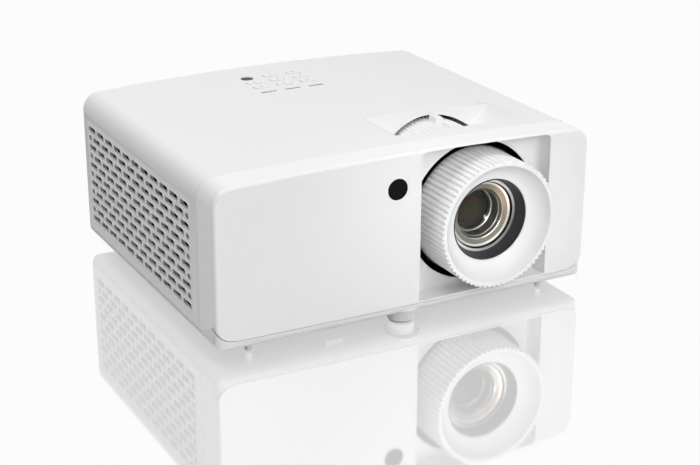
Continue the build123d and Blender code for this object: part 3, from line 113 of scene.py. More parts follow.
class Shop:
    """Makes node trees and the shader groups that several finishes share."""

    @staticmethod
    def feed(tree: NodeTree, node: Node, values: dict[str, object]) -> None:
        """Fills a node: a property is set, a socket is linked and any other value is written.

        Args:
            tree: the node tree.
            node: the node.
            values: properties by name, or inputs by name, where _ may stand for a space.
        """
        for name, value in values.items():
            label = name.replace("_", " ")
            if hasattr(node, name):
                setattr(node, name, value)
            elif isinstance(value, NodeSocket):
                tree.links.new(value, node.inputs[label])
            else:
                node.inputs[label].default_value = value

    @classmethod
    def add(cls, tree: NodeTree, kind: str, **values: object) -> Node:
        """Adds a node and fills it.

        Args:
            tree: the node tree that takes the node.
            kind: Blender's name of the node type.
            values: properties and inputs, with _ for spaces.

        Returns:
            The new node.
        """
        node = tree.nodes.new(kind)
        cls.feed(tree, node, values)
        return node

    @classmethod
    def math(cls, tree: NodeTree, operation: str, first: object, second: object = 0.0) -> NodeSocket:
        """Adds a sum and returns its output.

        Args:
            tree: the node tree.
            operation: Blender's name of the operation.
            first: a socket or a number.
            second: a socket or a number.

        Returns:
            The output socket.
        """
        node = cls.add(tree, "ShaderNodeMath", operation=operation)
        for index, value in enumerate((first, second)):
            if isinstance(value, (int, float)):
                node.inputs[index].default_value = value
            else:
                tree.links.new(value, node.inputs[index])
        return node.outputs[0]

    @classmethod
    def lifted(cls, tree: NodeTree, wave: NodeSocket) -> NodeSocket:
        """Brings a wave between -1 and 1 to between 0 and 1."""
        return cls.math(tree, "ADD", cls.math(tree, "MULTIPLY", wave, 0.5), 0.5)

    @classmethod
    def ramp(
        cls, tree: NodeTree, value: NodeSocket, span: tuple[object, object],
        result: tuple[float, float], kind: str = "LINEAR",
    ) -> NodeSocket:
        """A ramp from one span of values to another, level beyond both ends.

        Args:
            tree: the node tree.
            value: the socket that runs over the span.
            span: first and last value, each a number or a socket.
            result: what they become.
            kind: Blender's name of the ramp's course.

        Returns:
            The output socket.
        """
        return cls.add(
            tree, "ShaderNodeMapRange", interpolation_type=kind, Value=value,
            From_Min=span[0], From_Max=span[1], To_Min=result[0], To_Max=result[1],
        ).outputs["Result"]

    @classmethod
    def mixed(
        cls, tree: NodeTree, first: object, second: object, share: object = 1.0, blend: str = "MULTIPLY"
    ) -> NodeSocket:
        """Mixes two colours.

        Args:
            tree: the node tree.
            first: a colour or a socket.
            second: a colour or a socket.
            share: how far the mix goes, a number or a socket.
            blend: Blender's name of the way they mix.

        Returns:
            The colour socket.
        """
        node = cls.add(tree, "ShaderNodeMix", data_type="RGBA", blend_type=blend, Factor=share)
        sockets = [socket for socket in node.inputs if socket.type == "RGBA"]
        for socket, value in zip(sockets, (first, second)):
            if isinstance(value, tuple):
                socket.default_value = (*value, 1.0)
            else:
                tree.links.new(value, socket)
        return next(socket for socket in node.outputs if socket.type == "RGBA")

    @classmethod
    def bump(cls, tree: NodeTree, height: NodeSocket, strength: float, depth: float) -> NodeSocket:
        """A bump from a height.

        Args:
            tree: the node tree.
            height: the height socket.
            strength: 0 to 1.
            depth: depth of the relief, in metres.

        Returns:
            The normal socket.
        """
        node = cls.add(tree, "ShaderNodeBump", Strength=strength, Distance=depth, Height=height)
        return node.outputs["Normal"]

    @classmethod
    def layered(cls, tree: NodeTree, share: object, under: Node, over: Node) -> Node:
        """Lays one shader over another.

        Args:
            tree: the node tree.
            share: how much the upper one hides, a number or a socket.
            under: the lower shader.
            over: the upper shader.

        Returns:
            The node with both.
        """
        node = cls.add(tree, "ShaderNodeMixShader", Fac=share)
        for index, shader in enumerate((under, over), start=1):
            tree.links.new(shader.outputs[0], node.inputs[index])
        return node

    @staticmethod
    def open_group(
        name: str, inputs: dict[str, float], outputs: tuple[str, ...]
    ) -> tuple[NodeTree, Node, Node]:
        """Starts a shader group of numbers.

        Args:
            name: name of the group.
            inputs: each input's name and first value.
            outputs: the outputs' names.

        Returns:
            The tree, its input node and its output node.
        """
        tree = bpy.data.node_groups.new(name, "ShaderNodeTree")
        for label, value in inputs.items():
            socket = tree.interface.new_socket(label, in_out="INPUT", socket_type="NodeSocketFloat")
            socket.default_value = value
        for label in outputs:
            tree.interface.new_socket(label, in_out="OUTPUT", socket_type="NodeSocketFloat")
        return tree, tree.nodes.new("NodeGroupInput"), tree.nodes.new("NodeGroupOutput")

    @classmethod
    @cache
    def grain_group(cls) -> NodeTree:
        """Fine moulded grain over a slow drift of tone, from Object coordinates.

        Returns:
            The group, with Tone, Rough and Height outputs.
        """
        first = {
            "Grain Scale": 1800.0, "Cloud Scale": 14.0, "Tone Spread": 0.03,
            "Rough": 0.4, "Rough Spread": 0.1,
        }
        tree, given, made = cls.open_group("mould_grain", first, ("Tone", "Rough", "Height"))
        place = cls.add(tree, "ShaderNodeTexCoord").outputs["Object"]
        grain, cloud = (
            cls.add(
                tree, "ShaderNodeTexNoise", Vector=place, Scale=given.outputs[scale],
                Detail=detail, Roughness=rough,
            ).outputs["Fac"]
            for scale, detail, rough in (("Grain Scale", 2.0, 0.6), ("Cloud Scale", 3.0, 0.5))
        )
        drift = cls.math(tree, "SUBTRACT", cloud, 0.5)
        speck = cls.math(tree, "SUBTRACT", grain, 0.5)
        tone = cls.math(tree, "MULTIPLY", drift, given.outputs["Tone Spread"])
        rough = cls.math(tree, "MULTIPLY", speck, given.outputs["Rough Spread"])
        cls.feed(tree, made, {
            "Tone": cls.math(tree, "ADD", tone, 1.0),
            "Rough": cls.math(tree, "ADD", rough, given.outputs["Rough"]),
            "Height": grain,
        })
        return tree

    @classmethod
    @cache
    def lathe_group(cls) -> NodeTree:
        """Fine lines round the lens axis, as a lathe leaves them, and a painted sheen that is strongest to
        one side of it.

        Returns:
            The group, with Lines, Painted Sheen, Radius and Along outputs.
        """
        first = {"Pitch": 0.3 * MM, "Depth Share": 0.6, "Sheen Turn": 0.6, "Sheen Focus": 3.0}
        tree, given, made = cls.open_group("lathe_lines", first, ("Lines", "Sweep", "Radius", "Along"))
        place = cls.add(tree, "ShaderNodeTexCoord").outputs["Object"]
        centred = cls.add(tree, "ShaderNodeMapping", Vector=place, Location=(-LENS.x, 0.0, -LENS.z))
        parts = cls.add(tree, "ShaderNodeSeparateXYZ", Vector=centred.outputs["Vector"])
        x, y, z = parts.outputs
        across, upward = (cls.math(tree, "POWER", side, 2.0) for side in (x, z))
        radius = cls.math(tree, "SQRT", cls.math(tree, "ADD", across, upward))
        along = cls.math(tree, "MULTIPLY", y, given.outputs["Depth Share"])
        turns = cls.math(tree, "DIVIDE", cls.math(tree, "ADD", radius, along), given.outputs["Pitch"])
        wave = cls.math(tree, "SINE", cls.math(tree, "MULTIPLY", turns, 2 * math.pi))
        # painted sheen: a lobe round the axis, strongest at the sheen turn
        angle = cls.math(tree, "ARCTAN2", z, x)
        turned = cls.math(tree, "COSINE", cls.math(tree, "SUBTRACT", angle, given.outputs["Sheen Turn"]))
        cls.feed(tree, made, {
            "Lines": cls.lifted(tree, wave),
            "Sweep": cls.math(tree, "POWER", cls.lifted(tree, turned), given.outputs["Sheen Focus"]),
            "Radius": radius,
            "Along": y,
        })
        return tree

    @classmethod
    @cache
    def pore_group(cls) -> NodeTree:
        """Open pores of foam and paper.

        Returns:
            The group, with Wall and Height outputs.
        """
        first = {"Pore Scale": 900.0, "Wall Share": 0.25}
        tree, given, made = cls.open_group("open_pores", first, ("Wall", "Height"))
        place = cls.add(tree, "ShaderNodeTexCoord").outputs["Object"]
        cells = cls.add(
            tree, "ShaderNodeTexVoronoi", feature="DISTANCE_TO_EDGE",
            Vector=place, Scale=given.outputs["Pore Scale"],
        )
        wall = cls.ramp(tree, cells.outputs["Distance"], (0.0, given.outputs["Wall Share"]), (1.0, 0.0))
        cls.feed(tree, made, {"Wall": wall, "Height": wall})
        return tree


@dataclass(frozen=True)
class Finish:
    """What every finish has: a name, a colour and the record's slot that it stands for."""

    name: str
    colour: Colour
    slot: str

    @property
    def label(self) -> str:
        """Name of the material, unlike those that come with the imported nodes."""
        return f"{self.name}_look"

    def start(self) -> tuple[Material, NodeTree, Node]:
        """Starts a material.

        Returns:
            The material, its tree and its surface shader.
        """
        material = bpy.data.materials.new(self.label)
        material.use_nodes = True
        material.diffuse_color = (*self.colour, 1.0)
        tree = material.node_tree
        return material, tree, tree.nodes["Principled BSDF"]

    def material(self) -> Material:
        """The material, made once."""
        return bpy.data.materials.get(self.label) or self.make()

    def make(self) -> Material:
        """Makes the material; each kind of finish has its own way."""
        raise NotImplementedError


@dataclass(frozen=True)
class Grained(Finish):
    """A skin with a fine grain."""

    rough: float
    rough_spread: float = 0.12
    grain: float = 2200.0
    relief: float = 0.12
    relief_depth: float = 0.05 * MM
    tone_spread: float = 0.03

    def plain_inputs(self) -> dict[str, float]:
        """What goes into the surface shader and is the same all over."""
        return {}

    def make(self) -> Material:
        """Grain drives the tone, the roughness and the relief.

        Returns:
            The material.
        """
        material, tree, surface = self.start()
        grain = Shop.add(
            tree, "ShaderNodeGroup", node_tree=Shop.grain_group(), Grain_Scale=self.grain,
            Tone_Spread=self.tone_spread, Rough=self.rough, Rough_Spread=self.rough_spread,
        ).outputs
        Shop.feed(tree, surface, {
            "Base Color": Shop.mixed(tree, self.colour, grain["Tone"]),
            "Roughness": grain["Rough"],
            "Normal": Shop.bump(tree, grain["Height"], self.relief, self.relief_depth),
            **self.plain_inputs(),
        })
        return material


@dataclass(frozen=True)
class Moulding(Grained):
    """Moulded plastic or rubber."""

    coat: float = 0.0
    coat_rough: float = 0.1
    specular: float = 0.5

    def plain_inputs(self) -> dict[str, float]:
        """The gloss and the coat."""
        return {
            "Specular IOR Level": self.specular, "Coat Weight": self.coat, "Coat Roughness": self.coat_rough,
        }


@dataclass(frozen=True)
class RibbedMoulding(Moulding):
    """Moulded plastic with ribs round the lens axis, with painted shade in the grooves between them."""

    root: float = 41.8 * MM
    tip: float = 43.1 * MM
    inside: float = 0.15 * MM
    front: float = node_box("focus_ring")[0].y
    front_depth: float = 0.6 * MM
    shade: float = 0.82

    def make(self) -> Material:
        """Painted shade: the tone falls from the ribs' tips to their roots; the front face and the inside
        stay plain.

        Returns:
            The material.
        """
        material = super().make()
        tree = material.node_tree
        colour = tree.nodes["Principled BSDF"].inputs["Base Color"]
        plain = colour.links[0].from_socket
        lathe = Shop.add(tree, "ShaderNodeGroup", node_tree=Shop.lathe_group()).outputs
        skin = (self.front + self.front_depth / 2, self.front + self.front_depth)
        # painted shade: the colour darkens from the ribs' tips down to their roots
        groove_shade = Shop.ramp(tree, lathe["Radius"], (self.root, self.tip), (self.shade, 1.0))
        core = Shop.ramp(tree, lathe["Radius"], (self.root - self.inside, self.root), (1.0, 0.0))
        face = Shop.ramp(tree, lathe["Along"], skin, (1.0, 0.0))
        tone = Shop.math(tree, "MAXIMUM", groove_shade, Shop.math(tree, "MAXIMUM", core, face))
        tree.links.new(Shop.mixed(tree, plain, tone), colour)
        return material


@dataclass(frozen=True)
class Metal(Grained):
    """Plain or plated metal."""

    rough_spread: float = 0.15
    grain: float = 1200.0
    relief: float = 0.08
    tone_spread: float = 0.12

    def plain_inputs(self) -> dict[str, float]:
        """Metal all through."""
        return {"Metallic": 1.0}


@dataclass(frozen=True)
class TurnedMetal(Finish):
    """Metal or plastic turned on a lathe, with a painted sheen, warmer in tone, to one side."""

    # colour of the painted sheen on one side
    sheen_colour: Colour
    rough: float
    rough_spread: float = 0.12
    metallic: float = 1.0
    pitch: float = 0.35 * MM
    relief: float = 0.25
    relief_depth: float = 0.04 * MM

    def make(self) -> Material:
        """Lathe lines give the relief, and the painted sheen round the axis warms the colour on one side.

        Returns:
            The material.
        """
        material, tree, surface = self.start()
        lathe = Shop.add(tree, "ShaderNodeGroup", node_tree=Shop.lathe_group(), Pitch=self.pitch).outputs
        rough = Shop.math(tree, "MULTIPLY", lathe["Lines"], self.rough_spread)
        Shop.feed(tree, surface, {
            "Metallic": self.metallic,
            "Base Color": Shop.mixed(tree, self.colour, self.sheen_colour, share=lathe["Sweep"], blend="MIX"),
            "Roughness": Shop.math(tree, "ADD", rough, self.rough),
            "Normal": Shop.bump(tree, lathe["Lines"], self.relief, self.relief_depth),
        })
        return material


@dataclass(frozen=True)
class Glass(Finish):
    """Clear lens glass."""

    ior: float = 1.18
    rough: float = 0.02
    rough_spread: float = 0.01
    drift: float = 300.0
    tone_spread: float = 0.05

    def make(self) -> Material:
        """Clear glass whose tint drifts a little.

        Returns:
            The material.
        """
        material, tree, surface = self.start()
        grain = Shop.add(
            tree, "ShaderNodeGroup", node_tree=Shop.grain_group(), Grain_Scale=self.drift,
            Tone_Spread=self.tone_spread, Rough=self.rough, Rough_Spread=self.rough_spread,
        ).outputs
        Shop.feed(tree, surface, {
            "Base Color": Shop.mixed(tree, self.colour, grain["Tone"]),
            "Roughness": grain["Rough"],
            "IOR": self.ior,
            "Transmission Weight": 1.0,
        })
        return material


@dataclass(frozen=True)
class CoatedGlass(Finish):
    """Dark coated glass deep in the lens, with faint rings of colour round its middle painted in as the
    coating's reflections.
    """

    radius: float = 13.8 * MM
    rough: float = 0.18
    specular: float = 0.12
    # painted reflection: coloured rings that stand for the coating's reflections, darker towards the edge
    rings: tuple[tuple[float, Colour], ...] = (
        (0.0, (0.030, 0.033, 0.018)),
        (0.35, (0.026, 0.028, 0.014)),
        (0.52, (0.050, 0.016, 0.012)),
        (0.66, (0.012, 0.016, 0.010)),
        (0.85, (0.010, 0.006, 0.008)),
        (1.0, (0.004, 0.004, 0.004)),
    )

    def make(self) -> Material:
        """A ramp from the middle outwards paints the rings of reflected colour, darkest at the edge.

        Returns:
            The material.
        """
        material, tree, surface = self.start()
        lathe = Shop.add(tree, "ShaderNodeGroup", node_tree=Shop.lathe_group()).outputs
        share = Shop.math(tree, "DIVIDE", lathe["Radius"], self.radius)
        ramp = Shop.add(tree, "ShaderNodeValToRGB", Fac=share)
        stops = ramp.color_ramp.elements
        while len(stops) < len(self.rings):
            stops.new(0.5)
        for stop, (place, colour) in zip(stops, self.rings):
            stop.position = place
            stop.color = (*colour, 1.0)
        Shop.feed(tree, surface, {
            "Base Color": ramp.outputs["Color"],
            "Roughness": self.rough,
            "Specular IOR Level": self.specular,
        })
        return material


@dataclass(frozen=True)
class Foam(Finish):
    """Open foam, felt or pressed paper."""

    pores: float = 900.0
    pore_tone: float = 0.5
    wall_gain: float = 2.2
    rough: float = 0.95
    relief: float = 0.6
    relief_depth: float = 0.3 * MM

    def make(self) -> Material:
        """Painted shade in the pores: cell walls stand a little brighter than the pores between them.

        Returns:
            The material.
        """
        material, tree, surface = self.start()
        pores = Shop.add(
            tree, "ShaderNodeGroup", node_tree=Shop.pore_group(), Pore_Scale=self.pores
        ).outputs
        # painted shade: the pores are darker than the cell walls around them
        tone = Shop.math(tree, "MULTIPLY", pores["Wall"], self.wall_gain)
        tone = Shop.math(tree, "ADD", tone, self.pore_tone)
        Shop.feed(tree, surface, {
            "Base Color": Shop.mixed(tree, self.colour, tone),
            "Normal": Shop.bump(tree, pores["Height"], self.relief, self.relief_depth),
            "Roughness": self.rough,
            "Specular IOR Level": 0.0,
        })
        return material


class Finishes:
    """Every finish on the projector."""

    CASING = Moulding(
        "casing_white", (0.86, 0.86, 0.855), "casing_white", rough=0.6, relief=0.1, grain=1600.0
    )
    BEZEL = Moulding(
        "bezel_white", (0.90, 0.90, 0.895), "bezel_white", rough=0.28, rough_spread=0.03, relief=0.02
    )
    RING = Moulding("ring_white", (0.90, 0.90, 0.90), "ring_white", rough=0.40, relief=0.06)
    # the ribbed ring's grooves carry painted shade
    RIBS = RibbedMoulding("ribbed_white", (0.92, 0.92, 0.92), "ring_white", rough=0.40, relief=0.06)
    GRILLE = Moulding("grille_white", (0.84, 0.84, 0.84), "casing_white", rough=0.45)
    KEYS = Moulding("key_white", (0.86, 0.86, 0.86), "key_grey", rough=0.38, relief=0.06)
    MARKS = Moulding("mark_grey", (0.50, 0.50, 0.51), "parts_grey", rough=0.5)
    KNOB = Moulding("knob_grey", (0.78, 0.78, 0.79), "knob_grey", rough=0.24, relief=0.04, coat=0.4)
    RUBBER = Moulding("rubber_grey", (0.40, 0.40, 0.41), "rubber", rough=0.8, relief=0.3, tone_spread=0.2)
    PANEL = Moulding(
        "panel_grey", (0.055, 0.055, 0.058), "panel_grey", rough=0.55, relief=0.3, grain=1500.0
    )
    BLACK = Moulding(
        "black_moulding", (0.012, 0.012, 0.012), "black_plastic",
        rough=0.5, tone_spread=0.15, specular=0.2,
    )
    WINDOW = Moulding(
        "window_black", (0.004, 0.004, 0.005), "gloss_black",
        rough=0.12, rough_spread=0.02, relief=0.0, specular=0.08,
    )
    LIGHTS = Moulding("light_bar", (0.17, 0.18, 0.19), "clear_light", rough=0.25, relief=0.0)
    BOARD = Moulding(
        "board_green", (0.01, 0.06, 0.025), "board_green", rough=0.35, tone_spread=0.5, grain=500.0
    )
    PARTS = Moulding("parts_grey", (0.05, 0.05, 0.06), "parts_grey", rough=0.5, tone_spread=0.2)
    STEEL = Metal("plated_steel", (0.56, 0.56, 0.57), "steel", rough=0.28)
    BRASS = Metal("brass", (0.68, 0.50, 0.22), "brass", rough=0.25)
    GOLD = Metal("contact_gold", (0.83, 0.62, 0.25), "brass", rough=0.2)
    CAST = Metal("cast_metal", (0.42, 0.42, 0.43), "cast_metal", rough=0.5, relief=0.3, grain=900.0)
    FINS = Metal("fin_metal", (0.58, 0.58, 0.59), "sink_metal", rough=0.35)
    WHEEL = Metal("wheel_metal", (0.75, 0.68, 0.30), "wheel_metal", rough=0.2)
    # the next two are one turned metal in a lighter and a darker copy: painted light on the thin forward
    # steps and on the keeper, painted shade in the bores
    LIT_RING_METAL = TurnedMetal(
        "ring_metal_lit", (0.76, 0.76, 0.74), "bright_metal", sheen_colour=(0.74, 0.71, 0.67), rough=0.25
    )
    SHADED_RING_METAL = TurnedMetal(
        "ring_metal_shaded", (0.50, 0.50, 0.48), "bright_metal", sheen_colour=(0.46, 0.43, 0.40), rough=0.25
    )
    BRONZE = TurnedMetal(
        "ring_bronze", (0.27, 0.26, 0.22), "bright_metal", sheen_colour=(0.34, 0.24, 0.17), rough=0.35
    )
    OLIVE = TurnedMetal(
        "ring_olive", (0.28, 0.28, 0.24), "bright_metal", sheen_colour=(0.30, 0.27, 0.22), rough=0.35
    )
    GROOVE = TurnedMetal(
        "ring_groove", (0.010, 0.010, 0.010), "black_plastic",
        sheen_colour=(0.012, 0.010, 0.010), metallic=0.0, rough=0.5,
    )
    HOOD = TurnedMetal(
        "hood_charcoal", (0.042, 0.042, 0.048), "black_plastic",
        sheen_colour=(0.048, 0.046, 0.052), metallic=0.0, rough=0.42,
    )
    FRONT_GLASS = Glass("front_glass", (0.98, 0.99, 0.98), "glass_front")
    INNER_GLASS = CoatedGlass("inner_glass", (0.02, 0.02, 0.015), "glass_inner")
    FOAM = Foam("foam_black", (0.0006, 0.0006, 0.0006), "foam_black")
    PAPER = Foam("paper_cone", (0.02, 0.02, 0.02), "paper_cone", pores=1800.0)


class Maker:
    """Turns meshes into pieces, and keeps the repeated steps of that."""

    straight_share: float = 0.35
    room_share: float = 0.4
    merge_reach: float = 0.002 * MM
    flat_angle: float = 0.4
    ease_steps: int = 2

    @staticmethod
    def piece(name: str, mesh: Mesh, finish: Finish, body: str) -> Object:
        """Links a mesh as a piece that rides on a body.

        Args:
            name: name of the piece.
            mesh: its mesh, in the shared frame.
            finish: its finish; a mesh that has materials keeps them.
            body: the body that it moves with.

        Returns:
            The piece.
        """
        piece = bpy.data.objects.new(name, mesh)
        bpy.context.scene.collection.objects.link(piece)
        if not mesh.materials:
            mesh.materials.append(finish.material())
        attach(piece, body)
        LOG.info("%s rides on %s", name, body)
        return piece

    @staticmethod
    def from_bmesh(name: str, shape: BMesh, smooth: float = 40.0) -> Mesh:
        """Writes a bmesh to a new mesh and smooths it up to an angle.

        Args:
            name: name of the mesh.
            shape: the shape, which is freed.
            smooth: edges sharper than this many degrees stay sharp.

        Returns:
            The mesh.
        """
        bmesh.ops.recalc_face_normals(shape, faces=shape.faces)
        mesh = bpy.data.meshes.new(name)
        shape.to_mesh(mesh)
        shape.free()
        mesh.shade_smooth()
        mesh.set_sharp_from_angle(angle=math.radians(smooth))
        return mesh

    @staticmethod
    def revolve(
        shape: BMesh, middle: Vector, profile: list[tuple[float, float]], steps: int
    ) -> list[list[BMFace]]:
        """Turns a closed profile round an axis along Y.

        Args:
            shape: the shape that takes the faces.
            middle: a point on the axis.
            profile: radius and Y of each corner, in metres.
            steps: number of flat steps round the axis.

        Returns:
            The faces from each corner of the profile to the next.
        """
        turns = [2 * math.pi * step / steps for step in range(steps)]
        circles = [
            [shape.verts.new((middle.x + r * math.cos(a), y, middle.z + r * math.sin(a))) for a in turns]
            for r, y in profile
        ]
        sides = []
        for near, far in zip(circles, circles[1:] + circles[:1]):
            corners = zip(near, near[1:] + near[:1], far[1:] + far[:1], far)
            sides.append([shape.faces.new(four) for four in corners])
        return sides

    @staticmethod
    def settle(holder: Object, name: str) -> Mesh:
        """Turns an object with modifiers into a plain mesh and removes the object.

        Args:
            holder: the object.
            name: name of the mesh.

        Returns:
            The plain mesh.
        """
        graph = bpy.context.evaluated_depsgraph_get()
        mesh = bpy.data.meshes.new_from_object(holder.evaluated_get(graph), depsgraph=graph)
        mesh.name = name
        bpy.data.objects.remove(holder)
        return mesh

    @classmethod
    def room(cls, edge: BMEdge, width: float) -> float:
        """How wide an edge can be eased before it runs into the edges that it meets.

        Args:
            edge: the edge.
            width: the wanted width, in metres.

        Returns:
            The width there is room for, in metres.
        """
        for vertex in edge.verts:
            along = (edge.other_vert(vertex).co - vertex.co).normalized()
            for other in vertex.link_edges:
                way = other.other_vert(vertex).co - vertex.co
                across = way.cross(along).length
                goes_on = way.dot(along) < 0.0 and across < cls.straight_share * way.length
                if other is not edge and not goes_on:
                    width = min(width, cls.room_share * across)
        return width

    @classmethod
    def eased(
        cls, node: str, finish: Finish, width: float, angle: float = 40.0,
        share: Callable[[BMEdge], float] | None = None,
    ) -> Object:
        """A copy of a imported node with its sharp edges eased, which takes the node's place.

        Args:
            node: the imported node.
            finish: the copy's finish.
            width: width of the eased edge, in metres.
            angle: edges sharper than this many degrees are eased.
            share: gives each edge its own share of the width, as far as it has room for it; without
                it, the tightest place sets the width for all edges.

        Returns:
            The piece.
        """
        source = frame["nodes"][node]
        shape = bmesh.new()
        shape.from_mesh(source.data)
        bmesh.ops.remove_doubles(shape, verts=shape.verts, dist=cls.merge_reach)
        bmesh.ops.dissolve_limit(
            shape, angle_limit=math.radians(cls.flat_angle), verts=shape.verts, edges=shape.edges
        )
        weight = shape.edges.layers.float.new("bevel_weight_edge")
        sharp = [edge for edge in shape.edges if edge.calc_face_angle(0.0) > math.radians(angle)]
        widths = [cls.room(edge, width * share(edge)) if share else width for edge in sharp]
        for edge, own in zip(sharp, widths):
            edge[weight] = own / max(widths)
        mesh = bpy.data.meshes.new(node + "_eased")
        shape.to_mesh(mesh)
        shape.free()
        holder = bpy.data.objects.new(node + "_holder", mesh)
        bpy.context.scene.collection.objects.link(holder)
        bevel = holder.modifiers.new("ease", "BEVEL")
        bevel.width = max(widths)
        bevel.segments = cls.ease_steps
        bevel.limit_method = "WEIGHT"
        bevel.miter_outer = "MITER_ARC"
        bevel.use_clamp_overlap = share is None
        mesh.shade_smooth()
        level = holder.modifiers.new("level", "WEIGHTED_NORMAL")
        level.mode = "FACE_AREA_WITH_ANGLE"
        level.keep_sharp = True
        done = cls.settle(holder, node + "_eased")
        piece = cls.piece(node + "_eased", done, finish, source["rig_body"])
        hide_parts(node)
        return piece

    @staticmethod
    def dress(finish: Finish, *nodes: str) -> None:
        """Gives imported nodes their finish.

        Args:
            finish: the finish.
            nodes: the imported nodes.
        """
        for node in nodes:
            target = frame["nodes"][node]
            target.data.materials.clear()
            target.data.materials.append(finish.material())


class Tree:
    """A Geometry Nodes tree with named inputs."""

    def __init__(self, name: str) -> None:
        """Starts an empty tree.

        Args:
            name: name of the tree.
        """
        self.tree = bpy.data.node_groups.new(name, "GeometryNodeTree")
        self.tree.interface.new_socket("Geometry", in_out="OUTPUT", socket_type="NodeSocketGeometry")
        self.given = self.tree.nodes.new("NodeGroupInput")
        self.made = self.tree.nodes.new("NodeGroupOutput")
        self.identifiers: dict[str, str] = {}

    def input(self, name: str, kind: str) -> None:
        """Adds a named input.

        Args:
            name: name of the input.
            kind: its socket type.
        """
        socket = self.tree.interface.new_socket(name, in_out="INPUT", socket_type=kind)
        self.identifiers[name] = socket.identifier

    def add(self, kind: str, **values: object) -> Node:
        """Adds a node and fills it; a dollar sign before a name stands for the tree's input of that name.

        Args:
            kind: Blender's name of the node type.
            values: properties and inputs, with _ for spaces.

        Returns:
            The new node.
        """
        for name, value in values.items():
            if isinstance(value, str) and value.startswith("$"):
                values[name] = self.given.outputs[value[1:]]
        return Shop.add(self.tree, kind, **values)

    def close(self, geometry: NodeSocket) -> None:
        """Realizes the geometry, gives it the material input and puts it out.

        Args:
            geometry: the last geometry socket.
        """
        real = self.add("GeometryNodeRealizeInstances", Geometry=geometry)
        coat = self.add("GeometryNodeSetMaterial", Geometry=real.outputs[0], Material="$Material")
        self.tree.links.new(coat.outputs[0], self.made.inputs["Geometry"])

    def mesh(self, name: str, values: dict[str, object]) -> Mesh:
        """Runs the tree and returns its result as a plain mesh.

        Args:
            name: name of the mesh.
            values: a value for each named input.

        Returns:
            The plain mesh.
        """
        holder = bpy.data.objects.new(name + "_holder", bpy.data.meshes.new(name + "_seed"))
        bpy.context.scene.collection.objects.link(holder)
        modifier = holder.modifiers.new("tree", "NODES")
        modifier.node_group = self.tree
        for label, value in values.items():
            modifier[self.identifiers[label]] = value
        return Maker.settle(holder, name)


@dataclass
class Casing:
    """Covers, bezel, well and rear panel."""

    soft_edge: float = 0.45 * MM
    fine_edge: float = 0.3 * MM
    seam_share: float = 2.2
    seam_reach: float = 0.3 * MM
    wall: float = 3.0 * MM

    def seam_line(self) -> float:
        """Finds the top cover's upright seam with the bezel, on the sides.

        Returns:
            The seam's Y, in metres.
        """
        low, high = node_box("top_cover")
        corners = (vertex.co for vertex in frame["nodes"]["top_cover"].data.vertices)
        return min(c.y for c in corners if c.x < low.x + self.seam_reach and c.z < (low.z + high.z) / 2)

    def edge_share(self) -> Callable[[BMEdge], float]:
        """How much each edge of the top cover is eased: most beside the bezel, not at all round a grille.

        Returns:
            A function that gives an edge its share of the plain width.
        """
        low, high = node_box("top_cover")
        near, far = node_box("left_grille")
        seam_y = self.seam_line()

        def share(edge: BMEdge) -> float:
            """An edge's share of the plain width, by where it lies.

            Args:
                edge: the edge.

            Returns:
                The share.
            """
            corners = [vertex.co for vertex in edge.verts]
            outside = all(min(c.x - low.x, high.x - c.x) < self.wall for c in corners)
            if outside and all(abs(c.y - seam_y) < self.seam_reach for c in corners):
                return self.seam_share
            around = all(near.y - self.wall < c.y < far.y + self.wall for c in corners)
            level = all(near.z - self.wall < c.z < far.z + self.wall for c in corners)
            return 0.0 if outside and around and level else 1.0

        return share

    def build(self) -> None:
        """Eases the visible edges of the covers, the seam beside the bezel most of all."""
        Maker.eased("top_cover", Finishes.CASING, self.soft_edge, share=self.edge_share())
        Maker.eased("front_bezel", Finishes.BEZEL, self.soft_edge)
        Maker.eased("bottom_cover", Finishes.CASING, self.soft_edge)
        Maker.eased("lens_well", Finishes.BEZEL, self.fine_edge)
        Maker.eased("rear_panel", Finishes.PANEL, self.fine_edge)

    def dress(self) -> None:
        """Finishes the window, the screws and the inserts."""
        Maker.dress(Finishes.WINDOW, "front_window")
        Maker.dress(Finishes.STEEL, "cover_screws")
        Maker.dress(Finishes.BRASS, "mount_inserts")


